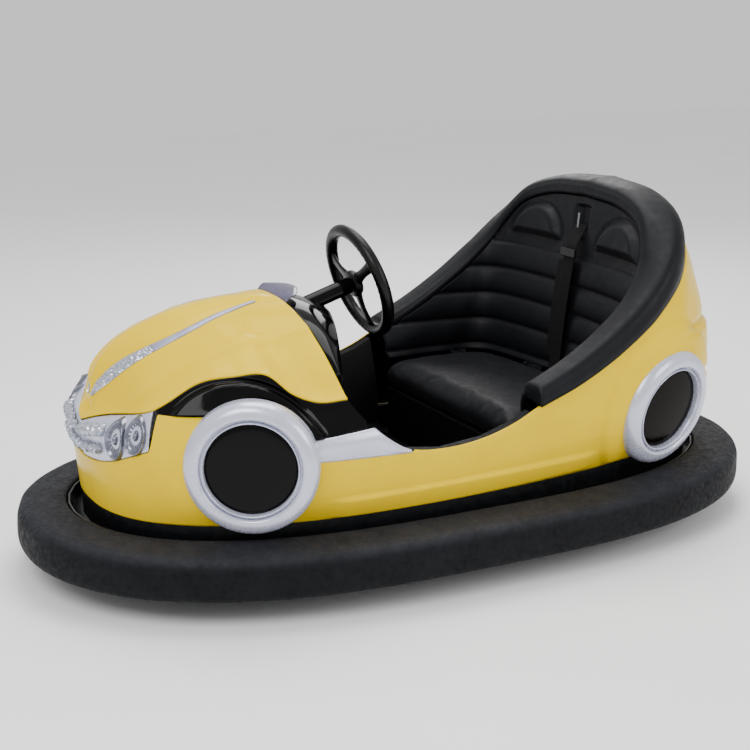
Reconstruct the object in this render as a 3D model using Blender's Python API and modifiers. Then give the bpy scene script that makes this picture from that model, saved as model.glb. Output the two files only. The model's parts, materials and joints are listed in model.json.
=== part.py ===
"""Fairground bumper car: an oval steel chassis in a rubber bumper ring, a moulded glass-fibre body
with a screwed-on bonnet, a padded bucket seat, and a swivelling drive wheel steered from the cockpit.

Metres, +Z up, the nose points to -Y and the driver's left is +X. The floor is at z = 0, and the origin
is on it, at the middle of the bumper ring.
"""

import math

import bmesh
import bpy
import numpy as np
from mathutils import Matrix, Vector

# ---- driving dimensions -------------------------------------------------------------------------
LENGTH = 1.95            # over the rubber bumper
WIDTH = 1.09
CLEARANCE = 0.060        # floor to the underside of the bumper
BUMPER_DEPTH = 0.120     # how far the rubber reaches inwards from its outer face
BUMPER_SHOULDER_Z = 0.160
BUMPER_TOP_Z = 0.172
BUMPER_SIDE_POWER = 2.05  # exponents of the bumper's oval plan
BUMPER_END_POWER = 2.94
OVAL_POINTS = 56

FIT = 0.0003             # gap kept between pieces that touch
SHELL = 0.005            # wall of the glass-fibre mouldings
PLATE = 0.004            # steel plate

RIM_WEB = 0.005          # steel band that the rubber ring sits on
RIM_LOW_Z = 0.085
DECK_TOP_Z = 0.132       # top of the chassis plate
TUB_FLOOR_Z = 0.137      # top of the cockpit floor

# plan of the body's lower edge, which stands on the plinth
BODY_BASE_Z = 0.195
BODY_HALF_WIDTH = 0.402
BODY_MID_Y = -0.150      # where the body is widest
BODY_NOSE = 0.666        # from there to the nose
BODY_TAIL = 0.980        # from there to the tail
PLINTH_WIDTH = 0.020

# outward swell of the body's side, by height (columns) at stations from nose to tail (rows)
SWELL_Z = (0.195, 0.250, 0.340, 0.400, 0.460, 0.600, 0.760)
SWELL_Y = (-0.816, -0.740, -0.570, -0.150, 0.250, 0.540, 0.700, 0.830)
SWELL = (
    (0.000, 0.004, 0.010, 0.006, -0.079, -0.067, -0.130),
    (0.000, 0.014, 0.022, 0.010, -0.013, -0.089, -0.120),
    (0.000, 0.032, 0.052, 0.049, -0.015, -0.054, -0.080),
    (0.000, 0.022, 0.030, 0.030, 0.011, 0.019, 0.000),
    (0.000, 0.024, 0.045, 0.051, 0.055, 0.055, 0.050),
    (0.000, 0.040, 0.076, 0.086, 0.090, 0.088, 0.060),
    (0.000, 0.030, 0.055, 0.060, 0.062, 0.040, -0.030),
    (0.000, 0.012, 0.022, 0.022, 0.020, -0.020, -0.130),
)

# dummy wheels moulded on the body's corners
DISC_R = 0.1025
TRIM_R = 0.150
TRIM_PROUD = 0.014       # how far the ring stands out of its centre plane
TRIM_SUNK = 0.034
FRONT_TRIM = (Vector((0.392, -0.570, 0.342)), -28.9, 0.7)    # centre, yaw and pitch in degrees
REAR_TRIM = (Vector((0.400, 0.545, 0.333)), 14.3, -10.6)

# bonnet
BONNET_REAR_Y = -0.348
BONNET_TOP_Z = 0.636
DEFLECTOR_HALF_WIDTH = 0.085
LAMP_HALF_WIDTH = 0.232  # where the headlamp band ends, as the base plan's half width

# light strips on the bonnet: share of the way from nose to rear corner, distance from the middle
STRIP_SHARE = (0.10, 0.16, 0.26, 0.40, 0.48, 0.57, 0.74, 0.88)
STRIP_X = (0.018, 0.033, 0.055, 0.083, 0.094, 0.096, 0.078, 0.051)
STRIP_HALF_WIDTH = (0.006, 0.011, 0.013, 0.011, 0.009, 0.008, 0.007, 0.005)

# steering
COLUMN_TILT = 17.5       # degrees above the horizontal
HUB = Vector((0.0, -0.109, 0.6445))
STEERING_R = 0.132       # to the middle of the grip
GRIP_R = 0.0155

# running gear
WHEEL_R = 0.100
DRIVE_Y = -0.500
DRIVE_TYRE_WIDTH = 0.060
SWIVEL_CLEAR_R = 0.190   # hole in the chassis plate that the drive unit turns in
REAR_WHEEL_X = 0.215
REAR_WHEEL_Y = 0.585
REAR_TYRE_WIDTH = 0.044
RUNNING_GAP = 0.006      # between a turning wheel and what is beside it

# seat
CUSHION_TOP_Z = 0.345
SEAT_BASE_TOP_Z = 0.268
CUSHION_FRONT_Y = 0.120
CUSHION_BACK_Y = 0.488    # at the middle of the seat back
SEAT_HALF_WIDTH = 0.300
BACK_WALL = 0.012        # quilted back
BACK_DROP = -0.0002      # its top edge under the padded rim

BLACK_GLOSS = ("black_gloss", "0b0c10", 0.18, 0.0)
BLACK_STEEL = ("black_steel", "15171a", 0.45, 0.3)
YELLOW = ("yellow_gelcoat", "ffe600", 0.12, 0.0)
SILVER = ("silver_paint", "b9bdcb", 0.30, 0.6)
RUBBER = ("bumper_rubber", "24262b", 0.75, 0.0)
VINYL = ("seat_vinyl", "1d1f25", 0.55, 0.0)
CHROME = ("lamp_chrome", "c8ccd2", 0.15, 0.9)
LENS = ("lamp_lens", "dfe6ee", 0.05, 0.0)
SMOKED = ("smoked_acrylic", "4b4762", 0.10, 0.0)
DARK_DISC = ("dark_disc", "17130f", 0.10, 0.0)
WEBBING = ("webbing", "121316", 0.80, 0.0)
MOTOR = ("motor_grey", "6a6d70", 0.45, 0.6)


# ---- helpers ------------------------------------------------------------------------------------
def srgb(text):
    values = [int(text[i:i + 2], 16) / 255 for i in (0, 2, 4)]
    return [v / 12.92 if v <= 0.04045 else ((v + 0.055) / 1.055) ** 2.4 for v in values] + [1.0]


def material(finish):
    name, colour, roughness, metallic = finish
    found = bpy.data.materials.get(name)
    if found:
        return found
    made = bpy.data.materials.new(name)
    made.use_nodes = True
    shader = made.node_tree.nodes["Principled BSDF"]
    shader.inputs["Base Color"].default_value = srgb(colour)
    shader.inputs["Roughness"].default_value = roughness
    shader.inputs["Metallic"].default_value = metallic
    made.diffuse_color = srgb(colour)
    return made


def place(obj, finish, collection="bumper_car"):
    obj.data.materials.clear()
    obj.data.materials.append(material(finish))
    for owner in list(obj.users_collection):
        owner.objects.unlink(obj)
    bpy.data.collections[collection].objects.link(obj)
    return obj


def mesh_object(name, points, faces, finish):
    mesh = bpy.data.meshes.new(name)
    mesh.from_pydata([tuple(map(float, p)) for p in points], [], faces)
    mesh.update()
    obj = bpy.data.objects.new(name, mesh)
    bpy.context.scene.collection.objects.link(obj)
    place(obj, finish)
    mesh.shade_smooth()
    mesh.set_sharp_from_angle(angle=math.radians(35))
    return obj


def sheet_faces(rows, columns, round_columns=False, flip=False):
    faces = []
    last = columns if round_columns else columns - 1
    for i in range(rows - 1):
        for j in range(last):
            k = (j + 1) % columns
            face = (i * columns + j, i * columns + k, (i + 1) * columns + k, (i + 1) * columns + j)
            faces.append(face[::-1] if flip else face)
    return faces


def sheet(name, grid, finish, flip=False):
    """An open surface through a grid of points, rows first."""
    rows, columns = grid.shape[:2]
    return mesh_object(name, grid.reshape(-1, 3), sheet_faces(rows, columns, flip=flip), finish)


def loft(name, sections, finish):
    """A closed solid through closed sections with the same number of points, capped at both ends."""
    rows, columns = sections.shape[:2]
    faces = sheet_faces(rows, columns, round_columns=True)
    faces.append(tuple(range(columns))[::-1])
    faces.append(tuple(range((rows - 1) * columns, rows * columns)))
    obj = mesh_object(name, sections.reshape(-1, 3), faces, finish)
    face_outwards(obj)
    return obj


def ring_loft(name, sections, finish):
    """A closed solid through sections that run all the way round and meet again."""
    rows, columns = sections.shape[:2]
    points = np.concatenate([sections, sections[:1]]).reshape(-1, 3)
    faces = sheet_faces(rows + 1, columns, round_columns=True)
    wrap = rows * columns
    faces = [tuple(v - wrap if v >= wrap else v for v in face) for face in faces]
    obj = mesh_object(name, points[:wrap], faces, finish)
    face_outwards(obj)
    return obj


def face_outwards(obj):
    work = bmesh.new()
    work.from_mesh(obj.data)
    bmesh.ops.recalc_face_normals(work, faces=work.faces)
    if work.calc_volume(signed=True) < 0:
        bmesh.ops.reverse_faces(work, faces=work.faces)
    work.to_mesh(obj.data)
    work.free()


def mirror(obj):
    made = obj.modifiers.new("mirror", "MIRROR")
    made.use_axis = (True, False, False)
    made.use_clip = True
    made.merge_threshold = 0.0001
    return obj


def thicken(obj, wall, offset=-1.0):
    made = obj.modifiers.new("wall", "SOLIDIFY")
    made.thickness = wall
    made.offset = offset
    made.use_even_offset = True
    return obj


def bevel(obj, width, segments=2, angle=40):
    made = obj.modifiers.new("edges", "BEVEL")
    made.width = width
    made.segments = segments
    made.limit_method = "ANGLE"
    made.angle_limit = math.radians(angle)
    return obj


def boolean(obj, other, operation="DIFFERENCE"):
    made = obj.modifiers.new(operation.lower(), "BOOLEAN")
    made.operation = operation
    made.object = other
    made.solver = "EXACT"
    other.hide_render = True
    other.display_type = "WIRE"
    return obj


def box(name, low, high, finish, collection="bumper_car"):
    bpy.ops.mesh.primitive_cube_add(size=1)
    obj = bpy.context.object
    obj.name = name
    low, high = Vector(low), Vector(high)
    obj.data.transform(Matrix.Translation((low + high) / 2) @ Matrix.Diagonal((*(high - low), 1)))
    return place(obj, finish, collection)


def cylinder(name, start, end, radius, finish, sides=24, collection="bumper_car"):
    start, end = Vector(start), Vector(end)
    bpy.ops.mesh.primitive_cylinder_add(vertices=sides, radius=radius, depth=(end - start).length)
    obj = bpy.context.object
    obj.name = name
    obj.matrix_world = Matrix.Translation((start + end) / 2) @ aim((end - start)).to_4x4()
    bpy.context.view_layer.update()
    obj.data.shade_smooth()
    obj.data.set_sharp_from_angle(angle=math.radians(35))
    return place(obj, finish, collection)


def aim(direction):
    return Vector(direction).normalized().to_track_quat("Z", "Y").to_matrix()


def turned(name, profile, origin, axis, finish, steps=32, collection="bumper_car"):
    """A profile of (radius, distance along the axis), closed, turned round an axis with Screw."""
    mesh = bpy.data.meshes.new(name)
    count = len(profile)
    closed = profile[0][0] > 0 or profile[-1][0] > 0
    edges = [(i, (i + 1) % count) for i in range(count if closed else count - 1)]
    mesh.from_pydata([(r, 0.0, a) for r, a in profile], edges, [])
    obj = bpy.data.objects.new(name, mesh)
    bpy.context.scene.collection.objects.link(obj)
    place(obj, finish, collection)
    turn = obj.modifiers.new("turn", "SCREW")
    turn.axis = "Z"
    turn.steps = turn.render_steps = steps
    turn.use_merge_vertices = True
    turn.merge_threshold = 0.00005
    turn.use_smooth_shade = True
    obj.matrix_world = Matrix.Translation(origin) @ aim(axis).to_4x4()
    return obj


def as_mesh(obj):
    """A curve made a mesh with its caps welded, so that it can be cut or joined."""
    graph = bpy.context.evaluated_depsgraph_get()
    name, finish_slots = obj.name, list(obj.data.materials)
    mesh = bpy.data.meshes.new_from_object(obj.evaluated_get(graph))
    world, owner = obj.matrix_world.copy(), obj.users_collection[0]
    bpy.data.objects.remove(obj)
    work = bmesh.new()
    work.from_mesh(mesh)
    bmesh.ops.remove_doubles(work, verts=work.verts, dist=0.00005)
    work.to_mesh(mesh)
    work.free()
    made = bpy.data.objects.new(name, mesh)
    made.matrix_world = world
    owner.objects.link(made)
    mesh.materials.clear()
    for slot in finish_slots:
        mesh.materials.append(slot)
    face_outwards(made)
    return made


def flat_plate(name, outlines, low_z, high_z, finish, collection="bumper_car"):
    """A flat plate between two heights: the first outline is its edge and the others are holes."""
    curve = bpy.data.curves.new(name, "CURVE")
    curve.dimensions = "2D"
    curve.fill_mode = "BOTH"
    curve.extrude = (high_z - low_z) / 2
    for outline in outlines:
        line = curve.splines.new("POLY")
        line.points.add(len(outline) - 1)
        for point, at in zip(line.points, outline):
            point.co = (float(at[0]), float(at[1]), 0.0, 1.0)
        line.use_cyclic_u = True
    obj = bpy.data.objects.new(name, curve)
    bpy.context.scene.collection.objects.link(obj)
    obj.location = (0, 0, (low_z + high_z) / 2)
    bpy.context.view_layer.update()
    return as_mesh(place(obj, finish, collection))


def through(x, keys, values):
    """A smooth curve through key values: cubic pieces whose slopes come from their neighbours."""
    keys, values = np.asarray(keys, float), np.asarray(values, float)
    steps = np.diff(values, axis=0) / np.diff(keys).reshape(-1, *[1] * (values.ndim - 1))
    slopes = np.concatenate([steps[:1], (steps[:-1] + steps[1:]) / 2, steps[-1:]])
    at = np.clip(np.asarray(x, float), keys[0], keys[-1])
    i = np.clip(np.searchsorted(keys, at, side="right") - 1, 0, len(keys) - 2)
    span = keys[i + 1] - keys[i]
    t = (at - keys[i]) / span
    shape = (*t.shape, *[1] * (values.ndim - 1))
    t, span = t.reshape(shape), span.reshape(shape)
    return (
        (2 * t**3 - 3 * t**2 + 1) * values[i] + (t**3 - 2 * t**2 + t) * span * slopes[i]
        + (3 * t**2 - 2 * t**3) * values[i + 1] + (t**3 - t**2) * span * slopes[i + 1]
    )


def along(points, count):
    """A smooth path through points, with its own points evenly spaced."""
    points = np.asarray(points, float)
    keys = np.r_[0, np.cumsum(np.linalg.norm(np.diff(points, axis=0), axis=1))]
    fine = through(np.linspace(0, keys[-1], 400), keys, points)
    run = np.r_[0, np.cumsum(np.linalg.norm(np.diff(fine, axis=0), axis=1))]
    at = np.linspace(0, run[-1], count)
    return np.stack([np.interp(at, run, fine[:, k]) for k in range(3)], axis=1)


# ---- plans and surfaces that several pieces share -----------------------------------------------
def oval(inset, count=OVAL_POINTS):
    """The bumper's plan, moved inwards by inset: points and outward normals."""
    turn = np.linspace(0, 2 * math.pi, 2000, endpoint=False)
    c, s = np.cos(turn), np.sin(turn)
    dense = np.stack([
        WIDTH / 2 * np.sign(c) * np.abs(c) ** (2 / BUMPER_SIDE_POWER),
        LENGTH / 2 * np.sign(s) * np.abs(s) ** (2 / BUMPER_END_POWER),
    ], axis=1)
    closed = np.concatenate([dense, dense[:1]])
    run = np.r_[0, np.cumsum(np.linalg.norm(np.diff(closed, axis=0), axis=1))]
    at = np.linspace(0, run[-1], count, endpoint=False)
    points = np.stack([np.interp(at, run, closed[:, k]) for k in range(2)], axis=1)
    ahead = np.roll(points, -1, axis=0) - np.roll(points, 1, axis=0)
    ahead /= np.linalg.norm(ahead, axis=1)[:, None]
    normals = np.stack([ahead[:, 1], -ahead[:, 0]], axis=1)
    return points - inset * normals, normals


def base_line(count=600):
    """The left half of the body's base plan, from nose to tail: points, normals, run from the nose."""
    front = np.linspace(0, math.pi / 2, count)
    rear = front[1:]
    nose = np.stack([
        BODY_HALF_WIDTH * np.sin(front) ** (2 / 2.5),
        BODY_MID_Y - BODY_NOSE * np.cos(front) ** (2 / 2.3),
    ], axis=1)
    tail = np.stack([
        BODY_HALF_WIDTH * np.cos(rear) ** (2 / 3.0),
        BODY_MID_Y + BODY_TAIL * np.sin(rear) ** (2 / 2.0),
    ], axis=1)
    points = np.concatenate([nose, tail])
    points[0, 0] = points[-1, 0] = 0.0
    run = np.r_[0, np.cumsum(np.linalg.norm(np.diff(points, axis=0), axis=1))]
    even = np.linspace(0, run[-1], count)
    points = np.stack([np.interp(even, run, points[:, k]) for k in range(2)], axis=1)
    ahead = np.gradient(points, axis=0)
    ahead[0] = (1, 0)
    ahead[-1] = (-1, 0)
    ahead /= np.linalg.norm(ahead, axis=1)[:, None]
    return points, np.stack([ahead[:, 1], -ahead[:, 0]], axis=1), even


BASE_POINTS, BASE_NORMALS, BASE_RUN = base_line()


def run_at_y(y):
    """How far along the base line its y reaches a value."""
    return float(np.interp(y, BASE_POINTS[:, 1], BASE_RUN))


def run_at_nose_x(x):
    """How far along the base line, in front of the middle, its half width reaches a value."""
    front = BASE_POINTS[:, 1] < BODY_MID_Y
    return float(np.interp(x, BASE_POINTS[front, 0], BASE_RUN[front]))


def body_side(run, z, inset=0.0):
    """A point on the body's side, by the run along the base line and the height."""
    run, z = np.broadcast_arrays(np.asarray(run, float), np.asarray(z, float))
    plan = np.stack([np.interp(run, BASE_RUN, BASE_POINTS[:, k]) for k in range(2)], axis=-1)
    normal = np.stack([np.interp(run, BASE_RUN, BASE_NORMALS[:, k]) for k in range(2)], axis=-1)
    by_height = through(z.ravel(), SWELL_Z, np.array(SWELL).T)
    swell = np.array([
        through(y, SWELL_Y, row) for y, row in zip(plan[..., 1].ravel(), by_height)
    ]).reshape(z.shape)
    at = plan + (swell - inset)[..., None] * normal
    at[..., 0] = np.where(plan[..., 0] < 1e-6, 0.0, at[..., 0])
    return np.concatenate([at, z[..., None]], axis=-1)


# edges that neighbouring panels share, as (base-line y, height)
ARCH_LOW_Z = 0.447
HOOD_LAP = 0.0058        # the bonnet edge stands this much over the panels below it
LAMP_RAMP = 0.016
TRIM_FRONT_RUN = run_at_y(-0.63)
TRIM_REAR_RUN = run_at_y(-0.50)
LAMP_RUN = run_at_nose_x(LAMP_HALF_WIDTH)
BONNET_CORNER_RUN = run_at_y(-0.335)
SILL_TIP_RUN = run_at_y(-0.185)
SEAT_RUN = run_at_y(0.140)


def lamp_low_z(run):
    return through(run, (0, LAMP_RUN * 0.5, LAMP_RUN), (0.300, 0.318, 0.365))


def bonnet_edge_z(run):
    """The bonnet's lower edge: up from the beak, over the wheel arch and down to its rear corner."""
    keys = [0, LAMP_RUN * 0.3, LAMP_RUN] + [run_at_y(y) for y in (-0.66, -0.58, -0.51, -0.455, -0.40, -0.335)]
    return through(run, keys, (0.389, 0.415, 0.456, 0.514, 0.529, 0.531, 0.488, 0.468, 0.470))


def opening_z(run):
    """The cockpit opening's edge, from the bonnet's corner down to the sill and up to the seat pad."""
    keys = [run_at_y(y) for y in (-0.335, -0.295, -0.25, -0.20, -0.11, 0.0, 0.08, 0.14)]
    return through(run, keys, (0.470, 0.417, 0.376, 0.346, 0.333, 0.343, 0.368, 0.398))


def silver_low_z(run):
    return through(run, (run_at_y(-0.57), run_at_y(-0.42), SILL_TIP_RUN), (0.350, 0.346, 0.336))


def silver_high_z(run):
    return through(run, (run_at_y(-0.57), run_at_y(-0.42), run_at_y(-0.285)), (0.385, 0.398, 0.408))


PANEL_RUNS = np.r_[
    np.linspace(0, LAMP_RUN, 9), LAMP_RUN + LAMP_RAMP * np.array((0.33, 0.67)),
    np.linspace(LAMP_RUN + LAMP_RAMP, BONNET_CORNER_RUN, 12),
    np.linspace(BONNET_CORNER_RUN, BASE_RUN[-1], 22)[1:],
]

# the padded rim of the seat: middle of its flat underside, half width and height, from its front end
PAD_PATH = (
    (0.400, 0.145, 0.398), (0.402, 0.250, 0.440), (0.400, 0.360, 0.500), (0.390, 0.455, 0.570),
    (0.360, 0.530, 0.648), (0.295, 0.582, 0.715), (0.175, 0.612, 0.755), (0.000, 0.620, 0.770),
)
PAD_HALF_WIDTH = (0.040, 0.042, 0.044, 0.048, 0.052, 0.057, 0.062, 0.065)
PAD_HEIGHT = (0.085, 0.085, 0.086, 0.088, 0.090, 0.090, 0.089, 0.088)
PAD_SEAM = (0.008, 0.022, 0.032, 0.036, 0.038, 0.040, 0.042, 0.042)   # inner edge above the outer one


def pad_line(count):
    """The padded rim's left half: points, outward plan normals, half widths, heights, seam heights."""
    points = np.array(PAD_PATH)
    keys = np.r_[0, np.cumsum(np.linalg.norm(np.diff(points, axis=0), axis=1))]
    at = np.linspace(0, keys[-1], count)
    path = through(at, keys, points)
    path[-1, 0] = 0.0
    ahead = np.gradient(path[:, :2], axis=0)
    ahead[-1] = (-1, 0)
    ahead /= np.linalg.norm(ahead, axis=1)[:, None]
    normal = np.stack([ahead[:, 1], -ahead[:, 0]], axis=1)
    return path, normal, *(through(at, keys, values) for values in (PAD_HALF_WIDTH, PAD_HEIGHT, PAD_SEAM))


PAD_FINE = pad_line(300)


def pad_under_z(point):
    """The height of the padded rim's underside over a plan point."""
    path = PAD_FINE[0]
    nearest = np.argmin(np.linalg.norm(path[:, :2] - np.asarray(point)[:2], axis=1))
    return path[nearest, 2]


def ramp(run, start, stop, low, high):
    """From one height to another between two runs, smoothly."""
    t = min(max((run - start) / (stop - start), 0.0), 1.0)
    return low + (high - low) * t * t * (3 - 2 * t)


def body_top_z(run):
    """The top edge of the body's yellow moulding."""
    if run < LAMP_RUN + LAMP_RAMP:
        return ramp(run, LAMP_RUN, LAMP_RUN + LAMP_RAMP, float(lamp_low_z(run)) - FIT, ARCH_LOW_Z - FIT)
    if run < SILL_TIP_RUN:
        return ramp(run, TRIM_FRONT_RUN, TRIM_REAR_RUN, ARCH_LOW_Z, float(silver_low_z(run))) - FIT
    if run < SEAT_RUN:
        return float(opening_z(run))
    z = 0.6
    for _ in range(12):
        z = 0.5 * z + 0.5 * (pad_under_z(body_side(run, z)) - 0.0006)
    return z


def panel_runs(start, stop, ends=()):
    """The columns that neighbouring panels share between two runs, with both ends."""
    picked = [run for run in PANEL_RUNS if start < run < stop]
    return np.array([start, *picked, stop])


def side_panel(name, runs, low, high, rows, finish, inset=0.0, wall=SHELL):
    """A wall on the body's side between two edges, each a function of the run."""
    share = np.linspace(0, 1, rows)[:, None]
    lows = np.array([low(r) for r in runs])[None, :]
    highs = np.array([high(r) for r in runs])[None, :]
    grid = body_side(np.broadcast_to(runs, (rows, len(runs))), lows + share * (highs - lows), inset)
    return thicken(sheet(name, grid, finish), wall)


# ---- pieces -------------------------------------------------------------------------------------
def make_bumper():
    section = (
        (0.120, 0.090), (0.120, 0.166), (0.112, BUMPER_TOP_Z), (0.030, BUMPER_SHOULDER_Z + 0.008),
        (0.006, BUMPER_SHOULDER_Z), (0.000, 0.138), (0.000, 0.092), (0.010, 0.070), (0.040, CLEARANCE),
        (0.104, CLEARANCE + 0.004),
    )
    rings = []
    for inset, z in section:
        points, _ = oval(inset)
        rings.append(np.c_[points, np.full(len(points), z)])
    ring_loft("rubber_bumper", np.stack(rings, axis=1), RUBBER)


def ring_band(name, outer_inset, inner_inset, low_z, high_z, finish):
    outer, _ = oval(outer_inset)
    inner, _ = oval(inner_inset)
    section = []
    for points, z in ((outer, low_z), (outer, high_z), (inner, high_z), (inner, low_z)):
        section.append(np.c_[points, np.full(len(points), z)])
    return ring_loft(name, np.stack(section, axis=1), finish)


def make_chassis():
    ring_band("bumper_rim", BUMPER_DEPTH + FIT, BUMPER_DEPTH + FIT + RIM_WEB, RIM_LOW_Z, 0.166, BLACK_STEEL)
    edge, _ = oval(BUMPER_DEPTH + RIM_WEB + 2 * FIT)
    turn = np.linspace(0, 2 * math.pi, 32, endpoint=False)
    swivel_hole = np.c_[SWIVEL_CLEAR_R * np.cos(turn), DRIVE_Y + SWIVEL_CLEAR_R * np.sin(turn)]
    holes = [swivel_hole]
    half_x = REAR_TYRE_WIDTH / 2 + 0.026
    half_y = WHEEL_R + 0.012
    for side in (-1, 1):
        x = side * REAR_WHEEL_X
        holes.append([
            (x - half_x, REAR_WHEEL_Y - half_y), (x + half_x, REAR_WHEEL_Y - half_y),
            (x + half_x, REAR_WHEEL_Y + half_y), (x - half_x, REAR_WHEEL_Y + half_y),
        ])
    flat_plate("chassis_deck", [edge, *holes], DECK_TOP_Z - PLATE, DECK_TOP_Z, BLACK_STEEL)


def mirrored_loop(line):
    """A closed plan from its left half, nose to tail."""
    return np.concatenate([line, (line[1:-1] * [-1, 1])[::-1]])


def make_plinth():
    count = 26
    at = np.linspace(0, BASE_RUN[-1], count)
    plan = np.stack([np.interp(at, BASE_RUN, BASE_POINTS[:, k]) for k in range(2)], axis=1)
    normal = np.stack([np.interp(at, BASE_RUN, BASE_NORMALS[:, k]) for k in range(2)], axis=1)
    loops = []
    for inset, z in (
        (0.002, DECK_TOP_Z + FIT), (0.002, BODY_BASE_Z - FIT),
        (PLINTH_WIDTH, BODY_BASE_Z - FIT), (PLINTH_WIDTH, DECK_TOP_Z + FIT),
    ):
        line = plan - inset * normal
        line[0, 0] = line[-1, 0] = 0.0
        loop = mirrored_loop(line)
        loops.append(np.c_[loop, np.full(len(loop), z)])
    ring_loft("body_plinth", np.stack(loops, axis=1), BLACK_STEEL)


def trim_frames():
    """Name, centre and outward direction of the four dummy wheels."""
    for end, (centre, yaw, pitch) in (("front", FRONT_TRIM), ("rear", REAR_TRIM)):
        yaw, pitch = math.radians(yaw), math.radians(pitch)
        out = Vector((math.cos(yaw) * math.cos(pitch), math.sin(yaw) * math.cos(pitch), math.sin(pitch)))
        yield f"{end}_left", centre, out
        yield f"{end}_right", Vector((-centre.x, centre.y, centre.z)), Vector((-out.x, out.y, out.z))


def trim_cutters():
    cutters = []
    for name, centre, out in trim_frames():
        cutters.append(cylinder(
            f"cut_trim_{name}", centre - (TRIM_SUNK + FIT) * out, centre + 0.080 * out,
            TRIM_R + FIT, BLACK_GLOSS,
            sides=32, collection="cutters",
        ))
    return cutters


def make_body(cutters):
    body = side_panel("body_shell", PANEL_RUNS, lambda r: BODY_BASE_Z, body_top_z, 7, YELLOW)
    body.modifiers.clear()
    mirror(body)
    thicken(body, SHELL)
    for cutter in cutters:
        boolean(body, cutter)

    lamp_runs = panel_runs(0, LAMP_RUN - FIT)
    band = side_panel(
        "headlamp_band", lamp_runs, lambda r: lamp_low_z(r) + 0.0005,
        lambda r: bonnet_edge_z(r) - HOOD_LAP, 4, CHROME, inset=0.004,
    )
    band.modifiers.clear()
    mirror(band)
    thicken(band, 0.004)
    lens_runs = panel_runs(0.020, LAMP_RUN - 0.012)
    arch_end = run_at_y(-0.303)

    def arch_low(run):
        return ramp(run, TRIM_FRONT_RUN, TRIM_REAR_RUN, ARCH_LOW_Z, float(silver_high_z(run))) + 0.0035

    def arch_high(run):
        if run < BONNET_CORNER_RUN:
            return float(bonnet_edge_z(run)) - HOOD_LAP
        return float(opening_z(run)) - HOOD_LAP

    def silver_high(run):
        if run < arch_end:
            return float(silver_high_z(run))
        return min(float(silver_high_z(run)), float(opening_z(run)))

    arch_runs = panel_runs(LAMP_RUN + LAMP_RAMP + 0.004, arch_end)
    silver_runs = panel_runs(TRIM_REAR_RUN - 0.02, SILL_TIP_RUN - 0.020)
    for side, picked in (("left", 0), ("right", 1)):
        arch = side_panel(f"wheel_arch_panel_{side}", arch_runs, arch_low, arch_high, 3, BLACK_GLOSS)
        silver = side_panel(f"silver_sill_panel_{side}", silver_runs, silver_low_z, silver_high, 3, SILVER)
        lens = side_panel(
            f"headlamp_{side}", lens_runs, lambda r: lamp_low_z(r) + 0.010,
            lambda r: bonnet_edge_z(r) - 0.014, 4, LENS, inset=-0.0034, wall=0.0045,
        )
        for panel in (arch, silver, lens):
            if picked:
                flip_side(panel)
        for panel in (arch, silver):
            boolean(panel, cutters[picked])


def flip_side(obj):
    """Moves a piece's mesh to the other side of the car."""
    obj.data.transform(Matrix.Diagonal((-1, 1, 1, 1)))
    obj.data.flip_normals()


def bonnet_ribs(runs, rows, lift=0.0):
    """The bonnet as ribs from its lower edge up to the spine, each a cubic arch."""
    share = runs / BONNET_CORNER_RUN
    edge = body_side(runs, np.array([bonnet_edge_z(r) for r in runs]) + FIT)
    spine = through(share, (0, 0.12, 0.3, 0.55, 0.8, 1.0), (
        (0, -0.806, 0.400), (0, -0.796, 0.480), (0, -0.740, 0.556), (0, -0.620, 0.609),
        (0, -0.470, 0.634), (0, BONNET_REAR_Y, BONNET_TOP_Z),
    ))
    stations = (0, 0.12, 0.3, 0.6, 1.0)
    rise = through(share, stations, (0.020, 0.014, 0.009, 0.004, 0.004))
    lean = through(share, stations, (0.012, 0.018, 0.027, 0.039, 0.041))
    reach = through(share, (0, 0.06, 0.15, 0.3, 0.6, 1.0), (0.0, 0.004, 0.011, 0.038, 0.109, 0.235))
    fall = through(share, stations, (0.004, 0.005, 0.008, 0.008, -0.005))
    normal = np.stack([np.interp(runs, BASE_RUN, BASE_NORMALS[:, k]) for k in range(2)], axis=1)
    low_hand = edge + np.c_[-lean[:, None] * normal, rise]
    low_hand[0, 0] = 0.0
    high_hand = spine + np.stack([reach, np.zeros_like(reach), -fall], axis=1)
    t = np.linspace(0, 1, rows)[:, None, None]
    ribs = ((1 - t) ** 3 * edge + 3 * (1 - t) ** 2 * t * low_hand
            + 3 * (1 - t) * t ** 2 * high_hand + t ** 3 * spine)
    ribs[..., 0] = np.maximum(ribs[..., 0], 0.0)
    ribs[-1, :, 0] = 0.0
    ribs[:, 0, 0] = 0.0
    ribs[..., 1] -= 2.0 * lift * (1 - share[None, :])
    ribs[..., 2] += lift
    return ribs


def make_bonnet():
    runs = panel_runs(0, BONNET_CORNER_RUN)
    bonnet = sheet("bonnet", bonnet_ribs(runs, 9), YELLOW)
    mirror(bonnet)
    thicken(bonnet, SHELL)
    for side in ("left", "right"):
        share = np.linspace(STRIP_SHARE[0], STRIP_SHARE[-1], 22)
        ribs = bonnet_ribs(np.r_[0, share] * BONNET_CORNER_RUN, 90, lift=0.0010)[:, 1:]
        middle = through(share, STRIP_SHARE, STRIP_X)
        half = through(share, STRIP_SHARE, STRIP_HALF_WIDTH)
        rows = np.array([
            [rib_at(ribs[:, i], middle[i] + step * half[i]) for step in (-1, 0, 1)] for i in range(len(share))
        ])
        lamp = sheet(f"bonnet_lamp_{side}", rows.transpose(1, 0, 2), CHROME, flip=True)
        thicken(lamp, 0.004, offset=1.0)
        if side == "right":
            flip_side(lamp)


def rib_at(rib, x):
    """The point of a bonnet rib at a distance from the middle."""
    upper = rib[np.argmax(rib[:, 0]):]
    return np.array([np.interp(x, upper[::-1, 0], upper[::-1, k]) for k in range(3)])


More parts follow.
